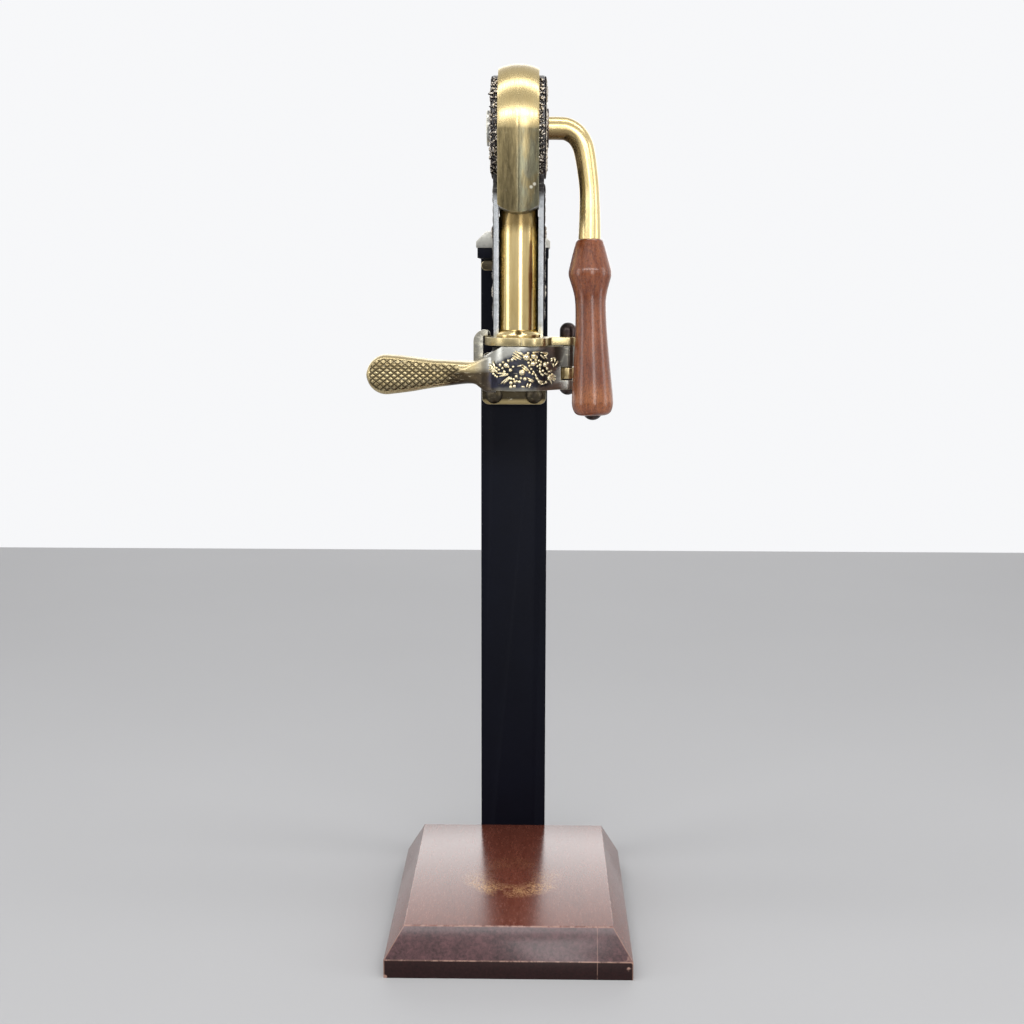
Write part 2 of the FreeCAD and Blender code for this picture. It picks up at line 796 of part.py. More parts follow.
collar = fuse("collar", collar_foot, collar_flare)
keep("barrel_collar", cut("barrel_collar", collar, collar_hole, collar_back, *collar_sides))

plate_disc = rod("plate_disc", s.plate_radius, s.plate_thickness, head_x, zero, plate_bottom)
plate_lobe = rod("plate_front_lobe", s.plate_lobe, s.plate_thickness, head_x + s.plate_lobe_x,
                 -s.plate_lobe_y, plate_bottom)
plate_ear = rod("plate_ear", s.hinge_lobe, s.plate_thickness, hinge_x, s.hinge_y, plate_bottom)
plate_bridge = block("plate_bridge", head_x, hinge_x, s.hinge_y - s.hinge_lobe, s.hinge_y + s.hinge_lobe,
                     plate_bottom, plate_top)
plate_solid = fuse("plate_solid", plate_disc, plate_lobe, plate_ear, plate_bridge)
plate_mouth = rod("plate_mouth", s.plate_bore / 2, s.plate_thickness + over * 2, head_x, zero,
                  plate_bottom - over)
plate_pin_hole = rod("plate_pin_hole", s.hinge_pin / 2, s.plate_thickness + over * 2, hinge_x, s.hinge_y,
                     plate_bottom - over)
keep("jaw_plate", cut("jaw_plate", plate_solid, plate_mouth, plate_pin_hole, *plate_holes))

# Side frames: a round cheek on the case and a straight wing down to the plate
def side_frame(node, side):
    cheek_x = head_x + s.case_half_width if side > 0 else head_x - frame_out
    cheek = rod(node + "_cheek", s.frame_disc, s.frame_thickness, cheek_x, pivot_y, pivot_z, "x")
    wing = body(node + "_wing")
    wing_sketch = draw(wing, node + "_outline", "YZ_Plane", [
        (-s.frame_front, plate_top),
        (s.frame_back, plate_top),
        (s.frame_back, s.ledge_top + s.foot_height),
        (s.case_edge - s.pivot_forward - s.case_wall, case_floor),
        (s.frame_disc - s.pivot_forward, pivot_z),
        (pivot_y, pivot_z),
        (-s.frame_disc - s.pivot_forward, pivot_z),
        (-s.frame_front - s.frame_cheek_step, pivot_z - s.frame_shoulder),
        (-s.frame_front - s.frame_hip_step, case_bottom - s.frame_hip_drop),
    ])
    pad(wing, node + "_wing_pad", wing_sketch, s.frame_thickness)
    place(wing, cheek_x, 0, 0)
    solid = fuse(node + "_solid", cheek, wing)
    pivot_hole = rod(node + "_pivot_hole", s.bush_outer / 2, s.frame_thickness + over * 2,
                     cheek_x - over, pivot_y, pivot_z, "x")
    lay_hole = rod(node + "_lay_hole", s.lay_shaft / 2 + s.fit, s.frame_thickness + over * 2,
                   cheek_x - over, lay_y, lay_z, "x")
    return keep(node, cut(node, solid, pivot_hole, lay_hole, *frame_holes))


side_frame("side_frame_left", -1)
side_frame("side_frame_right", 1)
frame_screw_list = []
for side in (-1, 1):
    for height in frame_screw_heights:
        face = head_x + frame_out * side
        head = dome("frame_screw_head", s.frame_screw_head / 2, s.frame_screw_head_height, face,
                    s.frame_screw_depth, height, "x", down=side < 0)
        frame_screw_list.append(fuse("frame_screw", side_stem("frame_screw_stem", side, height), head))
keep("frame_screws", fuse("frame_screws", *frame_screw_list))

# Bushes for the pivot shaft, one in each side
bushes = []
bush_length = s.case_side_wall + s.frame_thickness
for start in (head_x - frame_out, head_x + s.case_half_width - s.case_side_wall):
    sleeve = rod("bush_sleeve", s.bush_outer / 2, bush_length, start, pivot_y, pivot_z, "x")
    bore = rod("bush_bore", s.shaft_diameter / 2 + s.fit, bush_length + over * 2, start - over, pivot_y,
               pivot_z, "x")
    bushes.append(cut("bush", sleeve, bore))
keep("pivot_bushes", fuse("pivot_bushes", *bushes))

# Fixed nut and guide inside the barrel; the nut leaves room for the rack
nut_disc = rod("nut_disc", s.barrel_bore / 2, s.spindle_nut_height, head_x, zero, nut_bottom)
nut_bore = rod("nut_bore", s.spindle_diameter / 2 + s.fit, s.spindle_nut_height + over * 2, head_x, zero,
               nut_bottom - over)
nut_room = block("nut_room", head_x + s.rack_left - s.slack, head_x + s.barrel_bore, -s.barrel_bore,
                 s.barrel_bore, nut_bottom - over, nut_bottom + s.spindle_nut_height + over)
keep("spindle_nut", cut("spindle_nut", nut_disc, nut_bore, nut_room))
guide_disc = rod("guide_disc", s.barrel_bore / 2, s.worm_guide_height, head_x, zero, plate_top)
guide_bore = rod("guide_bore", s.worm_guide_bore / 2, s.worm_guide_height + over * 2, head_x, zero,
                 plate_top - over)
keep("worm_guide", cut("worm_guide", guide_disc, guide_bore))

# Hinge pin of the jaws, with a domed head above and a domed nut below
pin_stem = rod("pin_stem", s.hinge_pin / 2, plate_top - jaw_bottom + s.jaw_gap, hinge_x, s.hinge_y,
               jaw_bottom - s.jaw_gap)
head_straight = s.hinge_head_height / 2
pin_neck = rod("pin_neck", s.hinge_head_diameter / 2, head_straight, hinge_x, s.hinge_y, plate_top)
pin_dome = dome("pin_dome", s.hinge_head_diameter / 2, head_straight, hinge_x, s.hinge_y,
                plate_top + head_straight)
keep("hinge_pin", fuse("hinge_pin", pin_stem, pin_neck, pin_dome))
nut_top = jaw_bottom - s.jaw_gap
keep("hinge_nut", dome("hinge_nut", s.hinge_head_diameter / 2, s.hinge_nut_height, hinge_x, s.hinge_y,
                       nut_top, down=True))

# Lever: everything in its own frame, with the pivot at the origin and the arm hanging down
# in the XZ plane; the whole is then tilted a little forward about the pivot
lever_tilt = Rotation(xAxis, -plain(s.lever_tilt))
lever_place = FreeCAD.Placement(Vector(plain(head_x), plain(pivot_y), plain(pivot_z)), lever_tilt)
arm_start = plain(frame_out + s.slack + s.washer_thickness)
lean = math.radians(plain(s.lever_lean))
down_way = Vector(math.sin(lean), 0, -math.cos(lean))
grip_start = Vector(plain(s.lever_offset), 0, -plain(s.grip_top))
elbow = Vector(plain(s.elbow_x), 0, -plain(s.elbow_drop))
shoulder = Vector(plain(s.shoulder_x), 0, -plain(s.shoulder_drop))
waist = Vector(plain(s.waist_x), 0, -plain(s.waist_drop))
arm_root = Vector(arm_start, 0, 0)
level_end = Vector((arm_start + plain(s.elbow_x)) / 2, 0, -plain(s.arm_sag))
arm_line = Part.BSplineCurve()
arm_line.interpolate(Points=[arm_root, level_end, elbow, shoulder, waist, grip_start],
                     InitialTangent=xAxis, FinalTangent=down_way)
stations = [
    (arm_root, s.arm_root_diameter),
    (level_end, s.arm_root_diameter),
    (elbow, s.arm_elbow_diameter),
    (shoulder, (s.arm_elbow_diameter + s.arm_waist_diameter) / 2),
    (waist, s.arm_waist_diameter),
    (grip_start, s.arm_end_diameter),
]


def arm_ring(centre, way, diameter):
    """Circle across the arm; every circle starts on the same side, so the skin doesn't twist."""
    ring = Part.Wire([Part.Circle(Vector(), xAxis, diameter / 2).toShape()])
    tilt = math.degrees(math.atan2(-way.z, way.x))
    ring.Placement = FreeCAD.Placement(centre, Rotation(yAxis, tilt))
    return ring


marks = [(arm_line.parameter(centre), plain(diameter)) for centre, diameter in stations]
arm_rings = []
arm_steps = 6
for (mark, diameter), (next_mark, next_diameter) in zip(marks, marks[1:]):
    for step in range(arm_steps):
        share = step / arm_steps
        at = mark + (next_mark - mark) * share
        arm_rings.append(arm_ring(arm_line.value(at), arm_line.tangent(at)[0],
                                  diameter + (next_diameter - diameter) * share))
arm_rings.append(arm_ring(grip_start, down_way, plain(s.arm_end_diameter)))
arm_solid = Part.makeLoft(arm_rings, True, True)
tang_length = plain(s.grip_length)
tang = Part.makeCylinder(plain(s.tang_diameter) / 2, tang_length, grip_start, down_way)
shaft_bore = Part.makeCylinder(plain(s.shaft_diameter) / 2, plain(s.shaft_into_arm),
                               Vector(arm_start, 0, 0), xAxis)
arm = doc.addObject("Part::Feature", "lever_arm")
arm.Shape = arm_solid.fuse(tang).cut(shaft_bore)
arm.Placement = lever_place
keep("lever_arm", arm)

# Wooden handle: turned profile around the tang
grip = body("lever_handle")
hole = s.tang_diameter / 2
top = s.grip_top_diameter / 2
bulge = s.grip_bulge_diameter / 2
neck = s.grip_neck_diameter / 2
foot_round = s.grip_foot_diameter / 2
grip_sketch = draw(grip, "grip_profile", "XZ_Plane", [
    (hole, zero),
    (hole, -s.grip_length),
    (s.grip_nut_diameter / 2, -s.grip_length),
    (foot_round - s.grip_end_step, -s.grip_length + s.grip_end_rise, s.grip_end_arc, "left"),
    (foot_round, -s.grip_length + s.grip_foot_drop, s.grip_foot_arc, "left"),
    (neck + s.grip_waist_step, -s.grip_neck_drop - s.grip_waist_drop),
    (neck, -s.grip_neck_drop, s.grip_waist_arc, "right"),
    (neck + s.grip_collar_step, -s.grip_neck_drop + s.grip_collar_rise, s.grip_neck_arc, "right"),
    (bulge - s.grip_bulge_low_step, -s.grip_bulge_drop - s.grip_bulge_low),
    (bulge - s.grip_bulge_high_step, -s.grip_bulge_drop + s.grip_bulge_high, s.grip_bulge_arc, "left"),
    (top + s.grip_shoulder_step, -s.grip_shoulder_drop),
    (top, zero, s.grip_shoulder_arc, "left"),
])
revolve(grip, "grip_turning", grip_sketch, "V_Axis")
grip_turn = lever_tilt.multiply(Rotation(yAxis, -plain(s.lever_lean)))
grip.Placement = FreeCAD.Placement(lever_place.multVec(grip_start), grip_turn)
keep("lever_handle", grip)

nut_point = grip_start + down_way * plain(s.grip_length)
grip_nut = dome("handle_nut", s.grip_nut_diameter / 2, s.grip_nut_height, 0, 0, 0, down=True)
grip_nut.Placement = FreeCAD.Placement(lever_place.multVec(nut_point), grip_turn.multiply(aims["z"][1]))
keep("handle_nut", grip_nut)

# Pivot shaft, its cap on the left and the dark washer on the right
shaft_left = frame_out + s.slack
shaft_length = shaft_left * 2 + s.washer_thickness + s.shaft_into_arm
shaft_start = head_x - shaft_left
shaft_rod = rod("shaft_rod", s.shaft_diameter / 2, shaft_length, shaft_start, pivot_y, pivot_z, "x")
key_low = s.shaft_diameter / 2 - s.key_side / 2


def key_block(name):
    return block(name, gear_left, gear_right, pivot_y - s.key_side / 2, pivot_y + s.key_side / 2,
                 pivot_z + key_low, pivot_z + key_low + s.key_side)


keep("gear_key", key_block("gear_key"))
keep("pivot_shaft", cut("pivot_shaft", shaft_rod, key_block("shaft_keyway")))
cap_base = s.cap_edge
cap_x = head_x - shaft_left - cap_base
cap_disc = rod("cap_disc", s.cap_diameter / 2, cap_base, cap_x, pivot_y, pivot_z, "x")
cap_dome = dome("cap_dome", s.cap_diameter / 2, s.cap_thickness - cap_base, cap_x, pivot_y, pivot_z,
                "x", down=True)
keep("pivot_cap", fuse("pivot_cap", cap_disc, cap_dome))
washer_x = head_x + frame_out + s.slack
washer_disc = rod("washer_disc", s.washer_diameter / 2, s.washer_thickness, washer_x, pivot_y,
                  pivot_z, "x")
washer_bore = rod("washer_bore", s.shaft_diameter / 2, s.washer_thickness + over * 2, washer_x - over,
                  pivot_y, pivot_z, "x")
keep("hub_washer", cut("hub_washer", washer_disc, washer_bore))


def involute(base, angle):
    """Point of the involute of a circle after unrolling by an angle in radians."""
    return (base * (math.cos(angle) + angle * math.sin(angle)),
            base * (math.sin(angle) - angle * math.cos(angle)))


def gear_outline(module, teeth, phase, gap):
    """Corners of a spur gear with a tooth centred at phase; gap is taken off each tooth flank."""
    pressure = math.radians(plain(s.pressure_angle))
    pitch = module * teeth / 2
    base = pitch * math.cos(pressure)
    tip = pitch + module - gap
    bottom = pitch - plain(s.tooth_root) * module
    half_tooth = (math.pi * module / 2 - gap) / (2 * pitch)
    flank_start = half_tooth + math.tan(pressure) - pressure
    steps = 5
    first = max(base, bottom)
    corners = []
    for tooth in range(teeth):
        centre = phase + 2 * math.pi * tooth / teeth
        flank = []
        for step in range(steps + 1):
            radius = first + (tip - first) * step / steps
            roll = math.sqrt(max((radius / base) ** 2 - 1, 0))
            x, y = involute(base, roll)
            flank.append((math.hypot(x, y), math.atan2(y, x)))
        rising = [(bottom, centre - flank_start)] if bottom < first else []
        rising += [(radius, centre - flank_start + turn) for radius, turn in flank]
        falling = [(radius, 2 * centre - turn) for radius, turn in reversed(rising)]
        corners += rising + falling
    return [(radius * math.cos(turn), radius * math.sin(turn)) for radius, turn in corners]


def spur_gear(node, module, teeth, phase, left, width, y, z, bore):
    """Gear with its axis along X, centred at y and z."""
    outline = gear_outline(plain(module), int(plain(teeth)), phase, plain(s.backlash))
    points = [Vector(0, a, b) for a, b in outline]
    face = Part.Face(Part.makePolygon(points + points[:1]))
    solid = face.extrude(Vector(plain(width), 0, 0))
    hole = Part.makeCylinder(plain(bore), plain(width + over * 2), Vector(-plain(over), 0, 0), xAxis)
    gear = doc.addObject("Part::Feature", node + "_blank")
    gear.Shape = solid.cut(hole)
    gear.Placement.Base = Vector(plain(left), plain(y), plain(z))
    return gear


to_lay = math.atan2(plain(lay_z - pivot_z), plain(lay_y - pivot_y))
drive_blank = spur_gear("drive_gear", s.gear_module, s.drive_teeth, to_lay, gear_left, s.gear_width,
                        pivot_y, pivot_z, s.shaft_diameter / 2)
keep("drive_gear", cut("drive_gear", drive_blank, key_block("gear_keyway")))
lay_phase = to_lay + math.pi + math.pi / plain(s.lay_teeth)
keep("lay_wheel", spur_gear("lay_wheel", s.gear_module, s.lay_teeth, lay_phase, gear_left, s.gear_width,
                            lay_y, lay_z, s.lay_shaft / 2))
rack_x = head_x + s.rack_left
keep("lay_pinion", spur_gear("lay_pinion", s.rack_module, s.pinion_teeth, math.pi, rack_x, s.rack_width,
                             lay_y, lay_z, s.lay_shaft / 2))
keep("lay_shaft", rod("lay_shaft", s.lay_shaft / 2, (frame_out - s.lay_shaft_inset) * 2,
                      head_x - frame_out + s.lay_shaft_inset, lay_y, lay_z, "x"))

# Rack: a space faces the pinion's tooth at rest, teeth point backward
travel = math.radians(plain(s.lever_swing)) * plain(
    s.gear_module * s.drive_teeth / 2 * s.rack_module * s.pinion_teeth / (s.gear_module * s.lay_teeth))
rack_bottom = plain(lay_z) - plain(s.rack_overrun_low)
rack_top = plain(lay_z) + travel + plain(s.rack_overrun_high)
module = plain(s.rack_module)
pitch_step = math.pi * module
slant = math.tan(math.radians(plain(s.pressure_angle)))
line = plain(s.rack_pitch_line)
half_space = pitch_step / 4 + plain(s.backlash) / 2
tip_line = line + module - plain(s.backlash)
root_line = line - plain(s.tooth_root) * module
narrow = half_space - (line - root_line) * slant
broad = half_space + (tip_line - line) * slant
corners = [(-plain(s.rack_back), rack_bottom), (tip_line, rack_bottom)]
middle = plain(lay_z) - pitch_step
while middle + broad < rack_top:
    if middle - broad > rack_bottom:
        corners += [(tip_line, middle - broad), (root_line, middle - narrow),
                    (root_line, middle + narrow), (tip_line, middle + broad)]
    middle += pitch_step
corners += [(tip_line, rack_top), (-plain(s.rack_back), rack_top)]
rack_points = [Vector(0, y, z) for y, z in corners]
rack_face = Part.Face(Part.makePolygon(rack_points + rack_points[:1]))
rack_blank = doc.addObject("Part::Feature", "rack_blank")
rack_blank.Shape = rack_face.extrude(Vector(plain(s.rack_width), 0, 0))
rack_blank.Placement.Base = Vector(plain(rack_x), 0, 0)

# Carriage that carries the rack and the spindle's journal
carriage_top = carriage_bottom + s.carriage_height
carriage_block = block("carriage_block", head_x - s.carriage_left, rack_x, -s.carriage_front,
                       s.carriage_back, carriage_bottom, carriage_top)
journal_hole = rod("journal_hole", s.journal_diameter / 2 + s.fit, s.carriage_height + over * 2, head_x, zero,
                   carriage_bottom - over)
screw_tools = []
rack_screw_list = []
for height in (carriage_bottom + s.rack_screw_inset, carriage_top - s.rack_screw_inset):
    for name, found in (("rack_screw_hole", screw_tools), ("rack_screw", rack_screw_list)):
        found.append(rod(name, s.rack_screw / 2, s.rack_width + s.rack_screw_grip - s.slack,
                         rack_x - s.rack_screw_grip, -s.rack_screw_y, height, "x"))
keep("carriage", cut("carriage", carriage_block, journal_hole, *screw_tools))
keep("gear_rack", cut("gear_rack", rack_blank, *screw_tools))
keep("rack_screws", fuse("rack_screws", *rack_screw_list))

# Spindle: runs through the fixed nut, turns in the carriage and carries the worm
worm_top = worm_tip + s.worm_pitch * s.worm_turns
hub_bottom = worm_top - s.worm_hub_overlap
hub_top = hub_bottom + s.worm_hub_height
spindle_rod = rod("spindle_rod", s.spindle_diameter / 2, carriage_bottom - s.slack - hub_top, head_x, zero,
                  hub_top)
journal = rod("journal", s.journal_diameter / 2, s.carriage_height + s.journal_ring_height + s.slack * 3,
              head_x, zero, carriage_bottom - s.slack)
keep("worm_spindle", fuse("worm_spindle", spindle_rod, journal))
ring_bottom = carriage_top + s.slack
ring_disc = rod("ring_disc", s.journal_ring_diameter / 2, s.journal_ring_height, head_x, zero, ring_bottom)
ring_bore = rod("ring_bore", s.journal_diameter / 2, s.journal_ring_height + over * 2, head_x, zero,
                ring_bottom - over)
keep("spindle_ring", cut("spindle_ring", ring_disc, ring_bore))


def worm_point(angle):
    """Point and direction of the worm's wire, a right-hand helix around the barrel's axis."""
    radius = (plain(s.worm_outer) - plain(s.worm_wire)) / 2
    rise = plain(s.worm_pitch) / (2 * math.pi)
    height = plain(worm_tip) + rise * angle
    where = Vector(radius * math.cos(angle), radius * math.sin(angle), height)
    way = Vector(-radius * math.sin(angle), radius * math.cos(angle), rise).normalize()
    return where, way


def half_arc(start, apex, end):
    """Arc from start to end whose tangents meet at apex."""
    chord_middle = (start + end) * 0.5
    to_apex = apex - chord_middle
    half_chord = (end - start).Length / 2
    sag = half_chord * math.tan(math.atan2(to_apex.Length, half_chord) / 2)
    return Part.Arc(start, chord_middle + to_apex.normalize() * sag, end).toShape()


def biarc(first, first_way, last, last_way):
    """Two arcs that leave first and reach last along the directions given."""
    reach = last - first
    ways = first_way + last_way
    closing = 2 * (1 - first_way.dot(last_way))
    across = reach.dot(ways)
    length = (math.sqrt(across ** 2 + closing * reach.dot(reach)) - across) / closing
    apex_one = first + first_way * length
    apex_two = last - last_way * length
    meeting = (apex_one + apex_two) * 0.5
    return [half_arc(first, apex_one, meeting), half_arc(meeting, apex_two, last)]


def worm_path(first, last):
    """Wire path made of two arcs for each quarter turn, counted in quarter turns from the tip."""
    edges = []
    for quarter in range(first, last):
        here, here_way = worm_point(quarter * math.pi / 2)
        there, there_way = worm_point((quarter + 1) * math.pi / 2)
        edges += biarc(here, here_way, there, there_way)
    return Part.Wire(edges)


def worm_ring(quarter, radius):
    centre, way = worm_point(quarter * math.pi / 2)
    return Part.Wire([Part.Circle(centre, way, radius).toShape()])


quarters = int(round(plain(s.worm_turns) * 4))
wire_radius = plain(s.worm_wire) / 2
taper_quarters = 2
worm_wire = worm_path(taper_quarters, quarters).makePipeShell([worm_ring(taper_quarters, wire_radius)],
                                                              True, False)
taper = Part.BRepOffsetAPI.MakePipeShell(worm_path(0, taper_quarters))
taper.add(worm_ring(0, plain(s.worm_point) / 2))
taper.add(worm_ring(taper_quarters, wire_radius))
taper.build()
taper.makeSolid()
worm_hub = Part.makeCylinder(plain(s.worm_outer / 2 + s.worm_hub_edge), plain(s.worm_hub_height),
                             Vector(0, 0, plain(hub_bottom)))
worm = doc.addObject("Part::Feature", "worm")
worm.Shape = worm_wire.fuse([taper.shape(), worm_hub])
worm.Placement.Base = Vector(plain(head_x), 0, 0)
keep("worm", worm)
turn_points = [worm_point(quarter * math.pi / 12)[0] for quarter in range(quarters * 6)]
gaps = [(a - b).Length - 2 * wire_radius for i, a in enumerate(turn_points)
        for b in turn_points[i + 18:]]
print("least gap between turns of the worm: %.2f mm" % min(gaps))

# Jaws: half rings around the bottle's neck, hinged on one pin, each with its own handle
ring_outer = s.jaw_outer / 2
ring_inner = s.neck_bore / 2 + s.liner_thickness
half_gap = s.jaw_parting / 2
grip_front = half_gap + s.grip_depth


def on_ring(radius, height):
    return root(radius * radius - height * height)


def jaw(node, side):
    """side is -1 for the jaw in front and 1 for the jaw behind."""
    outward = "left" if side < 0 else "right"
    inward = "right" if side < 0 else "left"
    plan = body(node + "_plan")
    reach = on_ring(ring_outer, grip_front)
    shoulder_y = s.jaw_shoulder_y
    shoulder_x = on_ring(ring_outer, shoulder_y)
    inner_reach = on_ring(ring_inner, half_gap)
    hinge_line = s.hinge_y + (s.knuckle_radius - s.knuckle_step) * side
    path = [
        (-s.grip_root_x, half_gap * side),
        (-s.grip_root_x, grip_front * side),
        (-reach, grip_front * side),
        (shoulder_x, shoulder_y * side, ring_outer, outward),
        (s.hinge_x, hinge_line),
        (s.hinge_x, half_gap * side),
        (inner_reach, half_gap * side),
        (-inner_reach, half_gap * side, ring_inner, inward),
    ]
    pad(plan, node + "_ring", draw(plan, node + "_ring_plan", "XY_Plane", path), s.jaw_height)
    place(plan, head_x, 0, jaw_bottom)
    knuckle = rod(node + "_knuckle", s.knuckle_radius, s.jaw_height, hinge_x, s.hinge_y, jaw_bottom)
    return plan, knuckle


def paddle(node, side):
    """Handle outline seen from the front, as thick as the grip is deep."""
    middle = jaw_top - s.paddle_drop
    root_middle = jaw_bottom + s.paddle_root_rise
    outline = body(node + "_paddle")
    path = [
        (-s.grip_root_x + s.paddle_root_overlap, root_middle - s.paddle_root_half),
        (-s.grip_root_x + s.paddle_root_overlap, root_middle + s.paddle_root_half),
        (-s.grip_root_x - s.paddle_root_step, root_middle + s.paddle_root_half),
        (-s.paddle_neck_x, middle + s.paddle_neck_half),
        (-s.paddle_x, middle + s.paddle_radius),
        (-s.paddle_x - s.paddle_radius, middle, s.paddle_radius, "left"),
        (-s.paddle_x, middle - s.paddle_radius, s.paddle_radius, "left"),
        (-s.paddle_neck_x, middle - s.paddle_neck_half),
        (-s.grip_root_x - s.paddle_root_step, root_middle - s.paddle_root_half),
    ]
    sketch = draw(outline, node + "_paddle_face", "XZ_Plane", path)
    thickness = s.grip_depth - s.paddle_inset
    slab = pad(outline, node + "_paddle_pad", sketch, thickness, reverse=side > 0)
    doc.recompute()
    face_y = plain(thickness) * side
    rim = ["Edge%d" % number for number, edge in enumerate(slab.Shape.Edges, 1)
           if all(abs(vertex.Y - face_y) < 0.01 for vertex in edge.Vertexes)
           and min(vertex.X for vertex in edge.Vertexes) < -plain(s.grip_root_x)]
    rounding = outline.newObject("PartDesign::Fillet", node + "_paddle_rounding")
    rounding.Base = (slab, rim)
    bind(rounding, "Radius", s.paddle_rounding)
    place(outline, head_x, half_gap * side, 0)
    return outline


def corner_cut(node, x, z, slope, up):
    """Prism that takes a corner off the jaw, seen from the front, left of x."""
    tool = body(node)
    far = s.grip_root_x * 2.0
    run = far - x
    end_z = z - run * slope if up else z + run * slope
    outside = z + s.jaw_height if up else z - s.jaw_height
    path = [(-x, z), (-far, end_z), (-far, outside), (-x, outside)]
    if not up:
        path.reverse()
    pad(tool, node + "_pad", draw(tool, node + "_path", "XZ_Plane", path), s.jaw_outer * 3, midplane=True)
    return place(tool, head_x, 0, 0)


window_bottom = jaw_middle - s.window_drop - s.window_height / 2
window_top = window_bottom + s.window_height
knuckle_bottom = window_bottom + (s.window_height - s.knuckle_height) / 2
knuckle_top = knuckle_bottom + s.knuckle_height
pin_way = rod("pin_way", s.hinge_pin / 2 + s.fit, s.jaw_height + over * 2, hinge_x, s.hinge_y,
              jaw_bottom - over)
clear_radius = s.knuckle_radius + s.slack + s.knuckle_clear

front_plan, front_knuckle = jaw("front_jaw", -1)
front_corners = [corner_cut("front_jaw_shoulder", s.jaw_chamfer_x, jaw_top, s.jaw_chamfer_slope, True),
                 corner_cut("front_jaw_scoop", s.jaw_scoop_x, jaw_bottom, s.jaw_scoop_slope, False)]
front_ring = cut("front_ring", front_plan, *front_corners)
window = block("front_window", head_x + s.window_left, hinge_x + s.knuckle_radius * 2, -ring_outer,
               s.hinge_y + s.knuckle_radius * 2, window_bottom, window_top)
window_round = rod("front_window_round", clear_radius, s.window_height, hinge_x, s.hinge_y, window_bottom)
front_solid = fuse("front_solid", front_ring, front_knuckle, paddle("front_jaw", -1))
keep("front_jaw", cut("front_jaw", front_solid, window, window_round, pin_way))

rear_plan, rear_knuckle = jaw("rear_jaw", 1)
rear_corners = [corner_cut("rear_jaw_shoulder", s.jaw_chamfer_x, jaw_top, s.jaw_chamfer_slope, True),
                corner_cut("rear_jaw_scoop", s.jaw_scoop_x, jaw_bottom, s.jaw_scoop_slope, False)]
rear_ring = cut("rear_ring", rear_plan, *rear_corners)
rear_clear_low = rod("rear_clear_low", clear_radius, knuckle_bottom - jaw_bottom + over, hinge_x,
                     s.hinge_y, jaw_bottom - over)
rear_clear_high = rod("rear_clear_high", clear_radius, jaw_top - knuckle_top + over, hinge_x, s.hinge_y,
                      knuckle_top)
rear_solid = fuse("rear_solid", rear_ring, rear_knuckle, paddle("rear_jaw", 1))
rear_bare = cut("rear_bare", rear_solid, rear_clear_low, rear_clear_high, pin_way)
hook_x = head_x - s.hook_left
hook_under = plate_top + s.hook_clearance
hook_top = hook_under + s.hook_top_thickness
hook_end = s.hook_reach - s.hook_left
hook = body("hook")
hook_sketch = draw(hook, "hook_outline", "XZ_Plane", [
    (-s.hook_left, jaw_middle),
    (s.hook_thickness - s.hook_left, jaw_middle),
    (s.hook_thickness - s.hook_left, hook_under),
    (hook_end, hook_under),
    (hook_end, hook_top - s.hook_end_corner),
    (hook_end - s.hook_end_corner, hook_top, s.hook_end_corner, "left"),
    (s.hook_bend - s.hook_left, hook_top),
    (-s.hook_left, hook_top - s.hook_bend, s.hook_bend, "left"),
])
pad(hook, "hook_pad", hook_sketch, s.hook_depth, reverse=True)
place(hook, head_x, half_gap, 0)
hook_root = block("hook_root", hook_x, hook_x + s.hook_root_length, half_gap, half_gap + s.hook_depth,
                  jaw_middle - s.hook_root_half, jaw_middle + s.hook_root_half)
keep("rear_jaw", fuse("rear_jaw", rear_bare, hook, hook_root))

liner_outer = ring_inner
for node, side in (("front_liner", -1), ("rear_liner", 1)):
    sleeve = rod(node + "_sleeve", liner_outer, s.jaw_height - s.liner_inset * 2, head_x, zero,
                 jaw_bottom + s.liner_inset)
    neck = rod(node + "_neck", s.neck_bore / 2, s.jaw_height, head_x, zero, jaw_bottom)
    tube = cut(node + "_tube", sleeve, neck)
    parting = half_gap + s.liner_parting
    low, high = (-ring_outer, -parting) if side < 0 else (parting, ring_outer)
    keep(node, common(node, tube, block(node + "_half", head_x - ring_outer, head_x + ring_outer, low, high,
                                        jaw_bottom, jaw_top)))

doc.recompute()
problems = []
for thing in doc.Objects:
    if "Invalid" in thing.State or "Error" in thing.State:
        problems.append("%s is %s" % (thing.Label, thing.State))
for node, thing in nodes.items():
    shape = thing.Shape
    if shape.isNull() or not shape.isValid() or not shape.Solids:
        problems.append("%s has no valid shape" % node)
if problems:
    raise RuntimeError("; ".join(problems))
for node, thing in nodes.items():
    thing.Shape.exportStep("parts/%s.step" % node)
    print("%-18s %d solid %9.0f mm3" % (node, len(thing.Shape.Solids), thing.Shape.Volume))
print("%d nodes, rack travel %.3f mm, lay shaft at y %.3f z %.3f" % (
    len(nodes), travel, plain(lay_y), plain(lay_z)))
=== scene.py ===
import json
import math
import random

import bpy
from mathutils import Matrix, Vector


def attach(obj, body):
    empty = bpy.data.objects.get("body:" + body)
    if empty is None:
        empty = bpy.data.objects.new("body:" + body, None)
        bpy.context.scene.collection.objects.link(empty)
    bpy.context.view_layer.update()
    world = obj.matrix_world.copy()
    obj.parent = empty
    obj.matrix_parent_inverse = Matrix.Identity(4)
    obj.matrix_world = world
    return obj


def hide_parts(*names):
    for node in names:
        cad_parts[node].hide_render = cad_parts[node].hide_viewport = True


# A counter mount corkscrew on a wooden stand, dressed over its CAD model.
# The pieces' lengths are millimetres and become metres in the meshes. Places in the materials and in the
# studio are metres, as Object coordinates are.

